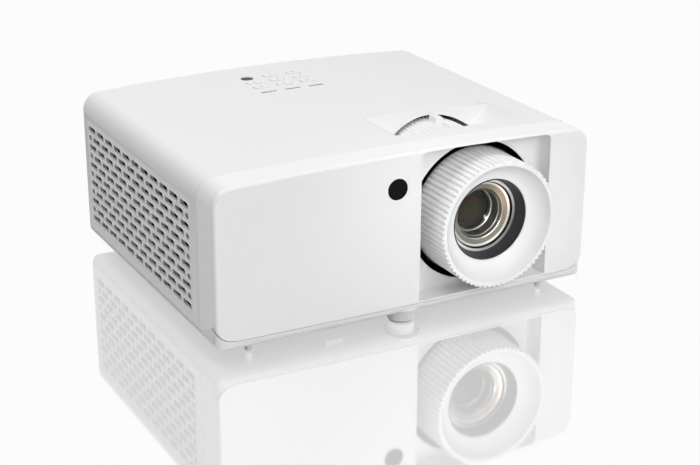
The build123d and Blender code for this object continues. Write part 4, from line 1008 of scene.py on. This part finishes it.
@dataclass
class Grilles:
    """Both side grilles, with a rounded lip round each slot."""

    rows: int = 11
    columns: int = 11
    pitch_y: float = 16.9 * MM
    pitch_z: float = 6.75 * MM
    slot_length: float = 14.6 * MM
    slot_height: float = 5.2 * MM
    slot_round: float = 2.5 * MM
    margin: float = 3.6 * MM
    lip: float = 0.45 * MM
    lip_sides: int = 8
    corner_steps: int = 4
    smooth: float = 60.0
    sides: tuple[tuple[Side, str], ...] = ((Side.LEFT, "left_grille"), (Side.RIGHT, "right_grille"))

    def lip_tree(self) -> Tree:
        """A block of slot lips: rows and columns of rounded rectangles, swept by a small circle.

        Returns:
            The tree.
        """
        tree = Tree("slot_lips")
        for name in ("Rows", "Columns"):
            tree.input(name, "NodeSocketInt")
        for name in ("Width", "Rise", "Length", "Height", "Round", "Lip"):
            tree.input(name, "NodeSocketFloat")
        tree.input("Corner", "NodeSocketVector")
        tree.input("Material", "NodeSocketMaterial")
        places = tree.add(
            "GeometryNodeMeshGrid", Size_X="$Width", Size_Y="$Rise", Vertices_X="$Columns", Vertices_Y="$Rows"
        )
        slot = tree.add("GeometryNodeCurvePrimitiveQuadrilateral", Width="$Length", Height="$Height")
        rounded = tree.add(
            "GeometryNodeFilletCurve", mode="POLY", Curve=slot.outputs[0], Count=self.corner_steps,
            Radius="$Round",
        )
        section = tree.add("GeometryNodeCurvePrimitiveCircle", Resolution=self.lip_sides, Radius="$Lip")
        lip = tree.add("GeometryNodeCurveToMesh", Curve=rounded.outputs[0], Profile_Curve=section.outputs[0])
        many = tree.add("GeometryNodeInstanceOnPoints", Points=places.outputs[0], Instance=lip.outputs[0])
        stood = tree.add(
            "GeometryNodeTransform", Geometry=many.outputs[0], Translation="$Corner",
            Rotation=Euler((math.pi / 2, 0.0, math.pi / 2)),
        )
        tree.close(stood.outputs[0])
        return tree

    def lip_blocks(self, node: str) -> list[tuple[int, int, float, float, float]]:
        """The four regular blocks that the staggered slots fall into.

        Args:
            node: the grille.

        Returns:
            For each block its rows, columns, slot length, and first slot's Y and Z.
        """
        low, high = node_box(node)
        first_y = low.y + self.margin + self.slot_length / 2
        top_z = high.z - self.margin - self.slot_height / 2
        half = (self.slot_length - (self.pitch_y - self.slot_length)) / 2
        long_rows = (self.rows + 1) // 2
        short_rows = self.rows // 2
        next_z = top_z - self.pitch_z
        return [
            (long_rows, self.columns, self.slot_length, first_y, top_z),
            (short_rows, self.columns - 1, self.slot_length, first_y + self.pitch_y / 2, next_z),
            (short_rows, 1, half, low.y + self.margin + half / 2, next_z),
            (short_rows, 1, half, high.y - self.margin - half / 2, next_z),
        ]

    def build(self) -> None:
        """Lays the lips on the outer faces of both grilles."""
        tree = self.lip_tree()
        for side, node in self.sides:
            low, high = node_box(node)
            face_x = low.x if side is Side.LEFT else high.x
            shape = bmesh.new()
            for number, block in enumerate(self.lip_blocks(node)):
                rows, columns, length, first_y, top_z = block
                width = (columns - 1) * self.pitch_y
                rise = (rows - 1) * 2 * self.pitch_z
                mesh = tree.mesh(f"{node}_lips_{number}", {
                    "Rows": rows, "Columns": columns, "Width": width, "Rise": rise, "Length": length,
                    "Height": self.slot_height, "Round": self.slot_round, "Lip": self.lip,
                    "Corner": (face_x - side.value * self.lip / 2, first_y + width / 2, top_z - rise / 2),
                    "Material": Finishes.GRILLE.material(),
                })
                shape.from_mesh(mesh)
            lips = Maker.from_bmesh(f"{node}_lips", shape, smooth=self.smooth)
            Maker.piece(f"{node}_lips", lips, Finishes.GRILLE, "chassis")

    def dress(self) -> None:
        """Finishes both grilles."""
        Maker.dress(Finishes.GRILLE, *(node for _, node in self.sides))


@dataclass(frozen=True)
class Band:
    """One turned face of the rings round the inner glass, up to its inner edge, in millimetres."""

    radius: float
    depth: float
    finish: Finish


@dataclass
class LensUnit:
    """Focus ring, hood, glasses and the zoom ring."""

    rib_edge: float = 0.22 * MM
    rib_angle: float = 25.0
    segments: int = 128
    smooth: float = 12.0
    keeper_radius: float = 23.3 * MM
    keeper_depth: float = 0.9 * MM
    groove_depth: float = 2.7 * MM
    # the lighter turned metal on the thin forward steps is painted light, the darker one in the bores painted
    # shade
    bands: tuple[Band, ...] = (
        Band(22.2, 2.75, Finishes.GROOVE),
        Band(20.8, 3.3, Finishes.LIT_RING_METAL),
        Band(17.6, 4.2, Finishes.BRONZE),
        Band(17.2, 4.5, Finishes.LIT_RING_METAL),
        Band(16.2, 6.6, Finishes.OLIVE),
        Band(15.9, 6.9, Finishes.LIT_RING_METAL),
        Band(15.0, 13.4, Finishes.SHADED_RING_METAL),
        Band(14.4, 14.0, Finishes.LIT_RING_METAL),
        Band(13.85, 15.7, Finishes.SHADED_RING_METAL),
    )

    def turned(self, name: str, profile: list[tuple[float, float]], finishes: list[Finish]) -> Mesh:
        """Turns a closed profile round the lens axis, each of its sides with its own finish.

        Args:
            name: name of the mesh.
            profile: radius and Y of each corner, in metres.
            finishes: the finish from each corner to the next.

        Returns:
            The mesh.
        """
        used = list(dict.fromkeys(finishes))
        shape = bmesh.new()
        for finish, faces in zip(finishes, Maker.revolve(shape, LENS, profile, self.segments)):
            for face in faces:
                face.material_index = used.index(finish)
        mesh = Maker.from_bmesh(name, shape, smooth=self.smooth)
        for finish in used:
            mesh.materials.append(finish.material())
        return mesh

    def rings(self) -> None:
        """Turns the keeper and the stepped rings in place of the plain steps."""
        low, high = node_box("lens_spacers")
        outer = (high.x - low.x) / 2
        keeper = [
            (outer, low.y), (self.keeper_radius, low.y + self.keeper_depth / 2),
            (self.keeper_radius, low.y + self.keeper_depth), (outer, low.y + self.keeper_depth),
        ]
        rings = [(outer, low.y + self.groove_depth)]
        rings += [(band.radius * MM, low.y + band.depth * MM) for band in self.bands]
        rings += [(self.bands[-1].radius * MM, high.y), (outer, high.y)]
        finishes = [band.finish for band in self.bands] + [Finishes.GROOVE] * 3
        for name, profile, sides in (
            ("lens_keeper", keeper, [Finishes.LIT_RING_METAL] * len(keeper)), ("lens_rings", rings, finishes)
        ):
            mesh = self.turned(name, profile, sides)
            piece = Maker.piece(name, mesh, Finishes.LIT_RING_METAL, "front_cell_body")
            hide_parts("lens_spacers")

    def build(self) -> None:
        """Eases the two turning rings and turns the inner ones."""
        self.rings()
        Maker.eased("focus_ring", Finishes.RIBS, self.rib_edge, angle=self.rib_angle)
        Maker.eased("zoom_ring", Finishes.RING, self.rib_edge, angle=self.rib_angle)

    def dress(self) -> None:
        """Finishes the hood, the glasses, the barrel and the seal."""
        Maker.dress(Finishes.HOOD, "front_cell")
        Maker.dress(Finishes.FRONT_GLASS, "front_glass", "zoom_glass")
        Maker.dress(Finishes.INNER_GLASS, "inner_glass")
        Maker.dress(Finishes.BLACK, "lens_barrel", "zoom_cell")
        Maker.dress(Finishes.FOAM, "lens_seal")


@dataclass
class Keypad:
    """Keys, lights and the receiver window on the top."""

    edge: float = 0.3 * MM
    mark_size: float = 1.5 * MM
    mark_proud: float = 0.06 * MM
    mark_sunk: float = 0.2 * MM
    mark_smooth: float = 20.0
    keys: tuple[tuple[str, Mark], ...] = (
        ("key_up", Mark.ARROW_UP),
        ("key_left", Mark.ARROW_LEFT),
        ("key_down", Mark.ARROW_DOWN),
        ("key_right", Mark.ARROW_RIGHT),
        ("key_enter", Mark.DOT),
        ("key_menu", Mark.BARS),
        ("key_power", Mark.RING),
        ("key_source", Mark.FRAME),
    )

    def outlines(self, mark: Mark) -> list[list[tuple[float, float]]]:
        """Corners of each closed outline that makes up a mark, in units of the mark's size.

        Args:
            mark: the mark.

        Returns:
            The outlines, each a list of corners in plan.
        """
        def arc(radius: float, start: float, end: float, steps: int) -> list[tuple[float, float]]:
            """Points along an arc.

            Args:
                radius: its radius.
                start: where it starts, in degrees.
                end: where it ends, in degrees.
                steps: the number of steps between them.

            Returns:
                The points.
            """
            turns = [math.radians(start + (end - start) * step / steps) for step in range(steps + 1)]
            return [(radius * math.cos(a), radius * math.sin(a)) for a in turns]

        def bar(left: float, low: float, right: float, high: float) -> list[tuple[float, float]]:
            """Corners of an upright rectangle."""
            return [(left, low), (right, low), (right, high), (left, high)]

        if mark is Mark.DOT:
            return [arc(0.6, 0.0, 345.0, 23)]
        if mark is Mark.BARS:
            return [bar(-0.9, foot, 0.9, foot + 0.25) for foot in (-0.7, -0.12, 0.46)]
        if mark is Mark.RING:
            return [arc(0.9, 130.0, 410.0, 32) + arc(0.65, 410.0, 130.0, 32), bar(-0.13, 0.1, 0.13, 1.1)]
        if mark is Mark.FRAME:
            return [
                bar(-1.0, -0.7, 1.0, -0.45), bar(-1.0, 0.45, 1.0, 0.7),
                bar(-1.0, -0.44, -0.75, 0.44), bar(0.75, -0.44, 1.0, 0.44),
            ]
        turn = Matrix.Rotation(math.radians(mark.value), 2)
        return [[tuple(turn @ Vector(corner)) for corner in ((0.8, 0.0), (-0.5, 0.8), (-0.5, -0.8))]]

    def mark(self, node: str, mark: Mark) -> None:
        """Raises a mark on a key; it rides with the key.

        Args:
            node: the key.
            mark: the mark.
        """
        low, high = node_box(node)
        middle = (low + high) / 2
        shape = bmesh.new()
        for outline in self.outlines(mark):
            corners = [
                shape.verts.new((
                    middle.x + x * self.mark_size, middle.y + y * self.mark_size, high.z - self.mark_sunk,
                )) for x, y in outline
            ]
            face = shape.faces.new(corners)
            raised = bmesh.ops.extrude_face_region(shape, geom=[face])["geom"]
            upper = [item for item in raised if isinstance(item, BMVert)]
            bmesh.ops.translate(shape, verts=upper, vec=(0.0, 0.0, self.mark_sunk + self.mark_proud))
        mesh = Maker.from_bmesh(f"{node}_mark", shape, smooth=self.mark_smooth)
        Maker.piece(f"{node}_mark", mesh, Finishes.MARKS, frame["nodes"][node]["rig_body"])

    def build(self) -> None:
        """Eases and marks the keys."""
        for node, mark in self.keys:
            Maker.eased(node, Finishes.KEYS, self.edge)
            self.mark(node, mark)

    def dress(self) -> None:
        """Finishes what lies round the keys."""
        Maker.dress(Finishes.LIGHTS, "indicator_lights")
        Maker.dress(Finishes.WINDOW, "top_window")
        Maker.dress(Finishes.BOARD, "keypad_board")


@dataclass
class RearPanel:
    """What shows in the sockets on the back, and the panel's screws."""

    screw_radius: float = 2.9 * MM
    screw_height: float = 1.1 * MM
    screw_inset: float = 5.5 * MM
    screw_sides: int = 32
    screw_proud_share: float = 0.3
    contact_size: tuple[float, float, float] = (0.5 * MM, 6.5 * MM, 0.35 * MM)
    contact_pitch: float = 1.02 * MM
    contacts: int = 8
    contact_inset: float = 1.2 * MM
    socket_skin: float = 0.8 * MM
    tongue_depth: float = 7.0 * MM
    tongue_inset: float = 1.5 * MM
    tongue_edge: float = 0.15 * MM
    tongue_smooth: float = 50.0
    jack_bore: float = 1.8 * MM
    jack_lip: float = 0.45 * MM
    jack_around: int = 48
    jack_across: int = 10
    jack_smooth: float = 80.0
    recess_length: float = 3.2 * MM
    recess_width: float = 0.75 * MM
    recess_depth: float = 1.0 * MM
    hdmi_width: float = 15.2 * MM
    hdmi_tongue: tuple[float, float] = (10.5 * MM, 1.0 * MM)
    usb_tongue: tuple[float, float] = (10.6 * MM, 1.7 * MM)
    usb_share: float = 0.36

    def bar_tree(self) -> Tree:
        """A straight row of small bars.

        Returns:
            The tree.
        """
        tree = Tree("bar_row")
        tree.input("Count", "NodeSocketInt")
        for name in ("Start", "Step", "Size"):
            tree.input(name, "NodeSocketVector")
        tree.input("Material", "NodeSocketMaterial")
        places = tree.add(
            "GeometryNodeMeshLine", mode="OFFSET", Count="$Count", Start_Location="$Start", Offset="$Step"
        )
        bar = tree.add("GeometryNodeMeshCube", Size="$Size")
        row = tree.add("GeometryNodeInstanceOnPoints", Points=places.outputs[0], Instance=bar.outputs[0])
        tree.close(row.outputs[0])
        return tree

    def screw_tree(self) -> Tree:
        """A row of flat-headed screws with a cross recess, facing backwards.

        Returns:
            The tree.
        """
        tree = Tree("panel_screws")
        tree.input("Columns", "NodeSocketInt")
        for name in ("Width", "Radius", "Height"):
            tree.input(name, "NodeSocketFloat")
        tree.input("Middle", "NodeSocketVector")
        tree.input("Material", "NodeSocketMaterial")
        places = tree.add(
            "GeometryNodeMeshGrid", Size_X="$Width", Size_Y=0.0, Vertices_X="$Columns", Vertices_Y=1
        )
        head = tree.add(
            "GeometryNodeMeshCylinder", Vertices=self.screw_sides, Radius="$Radius", Depth="$Height"
        )
        arm, cross = (
            tree.add("GeometryNodeMeshCube", Size=(*sides, self.recess_depth)).outputs[0]
            for sides in ((self.recess_length, self.recess_width), (self.recess_width, self.recess_length))
        )
        both = tree.add("GeometryNodeJoinGeometry", Geometry=arm)
        tree.tree.links.new(cross, both.inputs[0])
        lifted = tree.add(
            "GeometryNodeTransform", Geometry=both.outputs[0], Translation=(0.0, 0.0, self.screw_height / 2)
        )
        cut = tree.add(
            "GeometryNodeMeshBoolean", operation="DIFFERENCE", solver="EXACT", Self_Intersection=True
        )
        tree.tree.links.new(head.outputs["Mesh"], cut.inputs[0])
        tree.tree.links.new(lifted.outputs[0], cut.inputs[1])
        many = tree.add("GeometryNodeInstanceOnPoints", Points=places.outputs[0], Instance=cut.outputs[0])
        stood = tree.add(
            "GeometryNodeTransform", Geometry=many.outputs[0], Translation="$Middle",
            Rotation=Euler((-math.pi / 2, 0.0, 0.0)),
        )
        tree.close(stood.outputs[0])
        return tree

    def screws(self) -> None:
        """Sets three screws along the top of the panel and two along its foot."""
        low, high = node_box("rear_panel")
        tree = self.screw_tree()
        width = high.x - low.x - 2 * self.screw_inset
        for name, columns, z in (
            ("panel_screws_high", 3, high.z - self.screw_inset),
            ("panel_screws_low", 2, low.z + self.screw_inset),
        ):
            mesh = tree.mesh(name, {
                "Columns": columns, "Width": width,
                "Radius": self.screw_radius, "Height": self.screw_height,
                "Middle": ((low.x + high.x) / 2, high.y + self.screw_proud_share * self.screw_height, z),
                "Material": Finishes.STEEL.material(),
            })
            Maker.piece(name, mesh, Finishes.STEEL, "chassis")

    def socket_contacts(self) -> None:
        """Lays the spring contacts in the network socket."""
        low, high = node_box("lan_socket")
        span = (self.contacts - 1) * self.contact_pitch
        mesh = self.bar_tree().mesh("lan_contacts", {
            "Count": self.contacts,
            "Start": (
                (low.x + high.x) / 2 - span / 2,
                high.y - self.contact_size[1] / 2 - self.contact_inset,
                low.z + self.socket_skin + self.contact_size[2] / 2,
            ),
            "Step": (self.contact_pitch, 0.0, 0.0),
            "Size": self.contact_size,
            "Material": Finishes.GOLD.material(),
        })
        Maker.piece("lan_contacts", mesh, Finishes.GOLD, "chassis")

    def tongue(self, name: str, middle: Vector, width: float, thick: float) -> None:
        """Puts the flat tongue in a plug socket's mouth.

        Args:
            name: name of the piece.
            middle: middle of the mouth's face.
            width: width of the tongue.
            thick: its thickness.
        """
        shape = bmesh.new()
        bmesh.ops.create_cube(shape, size=1.0)
        bmesh.ops.scale(shape, verts=shape.verts, vec=(width, self.tongue_depth, thick))
        shift = (middle.x, middle.y - self.tongue_depth / 2 - self.tongue_inset, middle.z)
        bmesh.ops.translate(shape, verts=shape.verts, vec=shift)
        bmesh.ops.bevel(
            shape, geom=list(shape.edges), offset=self.tongue_edge, segments=Maker.ease_steps,
            affect="EDGES", profile=0.5,
        )
        mesh = Maker.from_bmesh(name, shape, smooth=self.tongue_smooth)
        Maker.piece(name, mesh, Finishes.BLACK, "chassis")

    def jack_lips(self) -> None:
        """Puts a plated lip round each sound jack's bore."""
        low, high = node_box("sound_jacks")
        middle = (low + high) / 2
        reach = (high.z - low.z) / 2
        rolls = [2 * math.pi * part / self.jack_across for part in range(self.jack_across)]
        lip = [
            (self.jack_bore + self.jack_lip * (1.0 + math.cos(roll)), high.y - self.jack_lip * math.sin(roll))
            for roll in rolls
        ]
        shape = bmesh.new()
        for x in (low.x + reach, high.x - reach):
            Maker.revolve(shape, Vector((x, high.y, middle.z)), lip, self.jack_around)
        mesh = Maker.from_bmesh("jack_lips", shape, smooth=self.jack_smooth)
        Maker.piece("jack_lips", mesh, Finishes.STEEL, "chassis")

    def build(self) -> None:
        """Builds the screws and what shows in each socket."""
        self.screws()
        self.socket_contacts()
        self.jack_lips()
        low, high = node_box("hdmi_sockets")
        half = self.hdmi_width / 2
        for number, x in enumerate((low.x + half, high.x - half)):
            self.tongue(f"hdmi_tongue_{number}", Vector((x, high.y, (low.z + high.z) / 2)), *self.hdmi_tongue)
        low, high = node_box("usb_socket")
        middle = Vector(((low.x + high.x) / 2, high.y, high.z - (high.z - low.z) * self.usb_share))
        self.tongue("usb_tongue", middle, *self.usb_tongue)

    def dress(self) -> None:
        """Finishes the sockets themselves."""
        Maker.dress(Finishes.STEEL, "lan_socket", "hdmi_sockets", "usb_socket")
        Maker.dress(Finishes.BLACK, "sound_jacks", "power_inlet")
        Maker.dress(Finishes.BRASS, "inlet_pins")


@dataclass
class Feet:
    """The three adjusting feet."""

    edge: float = 0.2 * MM
    edge_angle: float = 30.0
    nodes: tuple[str, ...] = ("front_foot", "rear_foot_left", "rear_foot_right")

    def build(self) -> None:
        """Eases the knobs."""
        for node in self.nodes:
            Maker.eased(node, Finishes.KNOB, self.edge, angle=self.edge_angle)

    def dress(self) -> None:
        """Finishes the pads."""
        Maker.dress(Finishes.RUBBER, *(node + "_pad" for node in self.nodes))


@dataclass
class Interior:
    """What sits inside the casing, seen through its openings."""

    boards: tuple[str, ...] = ("main_board", "power_board", "chip_board")
    castings: tuple[str, ...] = ("light_engine", "laser_module")
    sinks: tuple[str, ...] = ("laser_heat_sink", "chip_heat_sink")
    fans: tuple[str, ...] = ("intake_fan", "exhaust_fan")

    def build(self) -> None:
        """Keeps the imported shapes, which need no finer copy behind the slots."""
        LOG.info("inner nodes keep their packed shapes")

    def dress(self) -> None:
        """Finishes every inner node."""
        fan_parts = (fan + part for fan in self.fans for part in ("_frame", "_rotor"))
        Maker.dress(Finishes.FOAM, "dust_filter")
        Maker.dress(Finishes.PAPER, "speaker_cone")
        Maker.dress(Finishes.STEEL, "wheel_motor")
        Maker.dress(Finishes.BOARD, *self.boards)
        Maker.dress(Finishes.PARTS, "power_parts")
        Maker.dress(Finishes.CAST, *self.castings)
        Maker.dress(Finishes.FINS, *self.sinks)
        Maker.dress(Finishes.WHEEL, "phosphor_wheel")
        Maker.dress(Finishes.BLACK, *fan_parts, "speaker_box")


@dataclass(frozen=True)
class Lamp:
    """One square soft lamp: its place, the point it faces, its side, power and spread in degrees."""

    name: str
    place: Point
    aim: Point
    size: float
    watts: float
    spread: float = 180.0


@dataclass
class Studio:
    """Camera, floor, lamps and a white world that a flag dims on the left."""

    image_width: float = 700.0
    focal_pixels: float = 1564.65
    azimuth: float = -28.18
    elevation: float = 21.34
    roll: float = 0.21
    distance: float = 1115.39 * MM
    target: Point = (15.2 * MM, 1.13 * MM, 23.45 * MM)
    sensor: float = 36.0
    clip_start: float = 0.01
    floor_size: float = 12.0
    floor_grey: float = 0.5
    floor_rough: float = 0.05
    ambient: float = 0.55
    flag: float = 0.06
    flag_from: float = -0.85
    flag_to: float = 0.15
    lamps: tuple[Lamp, ...] = (
        Lamp("key", (0.15, -1.7, 1.1), (0.0, 0.0, 0.05), size=0.9, watts=12.2),
        Lamp("top", (-0.75, 0.2, 1.65), (0.0, 0.0, 0.05), size=1.0, watts=14.6),
        Lamp("lens", (-0.16, -0.42, 0.22), (0.045, -0.115, 0.075), size=0.12, watts=0.014, spread=27.0),
    )
    mirror_share: float = 0.42
    glow_share: float = 0.92

    def camera(self) -> None:
        """Sets the camera at the photograph's view."""
        azimuth, elevation, roll = (math.radians(v) for v in (self.azimuth, self.elevation, self.roll))
        back = Vector((
            math.sin(azimuth) * math.cos(elevation),
            -math.cos(azimuth) * math.cos(elevation),
            math.sin(elevation),
        ))
        right = Vector((0.0, 0.0, 1.0)).cross(back).normalized()
        up = back.cross(right)
        level = right * math.cos(roll) + up * math.sin(roll)
        upright = up * math.cos(roll) - right * math.sin(roll)
        data = bpy.data.cameras.new("camera")
        data.sensor_fit = "HORIZONTAL"
        data.sensor_width = self.sensor
        data.lens = self.focal_pixels / self.image_width * self.sensor
        data.clip_start = self.clip_start
        camera = bpy.data.objects.new("camera", data)
        place = Vector(self.target) + back * self.distance
        camera.matrix_world = Matrix.Translation(place) @ Matrix((level, upright, back)).transposed().to_4x4()
        bpy.context.scene.collection.objects.link(camera)
        bpy.context.scene.camera = camera

    def light(self) -> None:
        """Adds the lamps."""
        for lamp in self.lamps:
            data = bpy.data.lights.new(lamp.name, "AREA")
            data.shape = "SQUARE"
            data.size = lamp.size
            data.energy = lamp.watts
            data.spread = math.radians(lamp.spread)
            light = bpy.data.objects.new(lamp.name, data)
            light.location = lamp.place
            light.rotation_euler = (Vector(lamp.aim) - Vector(lamp.place)).to_track_quat("-Z", "Y").to_euler()
            bpy.context.scene.collection.objects.link(light)

    def world(self) -> None:
        """White to the eye; as light it is softer, and dim on the left."""
        world = bpy.data.worlds.new("studio")
        world.use_nodes = True
        tree = world.node_tree
        place = Shop.add(tree, "ShaderNodeTexCoord").outputs["Generated"]
        across = Shop.add(tree, "ShaderNodeSeparateXYZ", Vector=place).outputs["X"]
        flag = Shop.ramp(tree, across, (self.flag_from, self.flag_to), (self.flag, 1.0), "SMOOTHSTEP")
        rays = Shop.add(tree, "ShaderNodeLightPath").outputs
        level = Shop.ramp(tree, rays["Is Glossy Ray"], (0.0, 1.0), (self.ambient, 1.0))
        soft = Shop.math(tree, "MULTIPLY", level, flag)
        seen = Shop.math(tree, "MAXIMUM", rays["Is Camera Ray"], rays["Is Transmission Ray"])
        strength = Shop.math(tree, "MAXIMUM", soft, seen)
        Shop.feed(tree, tree.nodes["Background"], {"Color": WHITE, "Strength": strength})
        bpy.context.scene.world = world

    def floor_material(self) -> Material:
        """White to the eye, straight, mirrored or through glass; grey as it sends light on, and polished.

        Returns:
            The material.
        """
        material = bpy.data.materials.new("floor_white")
        material.use_nodes = True
        tree = material.node_tree
        tree.nodes.remove(tree.nodes["Principled BSDF"])
        grey = (self.floor_grey, self.floor_grey, self.floor_grey, 1.0)
        matt = Shop.add(tree, "ShaderNodeBsdfDiffuse", Color=grey)
        glow = Shop.add(tree, "ShaderNodeEmission", Color=WHITE)
        gloss = Shop.add(tree, "ShaderNodeBsdfAnisotropic", Color=WHITE, Roughness=self.floor_rough)
        rays = Shop.add(tree, "ShaderNodeLightPath").outputs
        seen = Shop.math(tree, "MAXIMUM", rays["Is Camera Ray"], rays["Is Glossy Ray"])
        seen = Shop.math(tree, "MAXIMUM", seen, rays["Is Transmission Ray"])
        lit = Shop.layered(tree, Shop.math(tree, "MULTIPLY", seen, self.glow_share), matt, glow)
        polished = Shop.layered(tree, self.mirror_share, lit, gloss)
        tree.links.new(polished.outputs[0], tree.nodes["Material Output"].inputs["Surface"])
        return material

    def floor(self) -> None:
        """A wide floor that keeps the shadow and mirrors the projector faintly."""
        half = self.floor_size / 2
        corners = [(-half, -half, 0.0), (half, -half, 0.0), (half, half, 0.0), (-half, half, 0.0)]
        mesh = bpy.data.meshes.new("floor")
        mesh.from_pydata(corners, [], [range(len(corners))])
        mesh.materials.append(self.floor_material())
        floor = bpy.data.objects.new("floor", mesh)
        bpy.context.scene.collection.objects.link(floor)

    def build(self) -> None:
        """Sets the whole studio."""
        bpy.context.scene.view_settings.view_transform = "Standard"
        self.camera()
        self.world()
        self.floor()
        self.light()


def main() -> None:
    """Builds every sub-assembly, then the studio."""
    logging.basicConfig(level=logging.INFO)
    for part in (Casing(), Grilles(), LensUnit(), Keypad(), RearPanel(), Feet(), Interior()):
        part.build()
        part.dress()
    Studio().build()


if __name__ == "__main__":
    main()
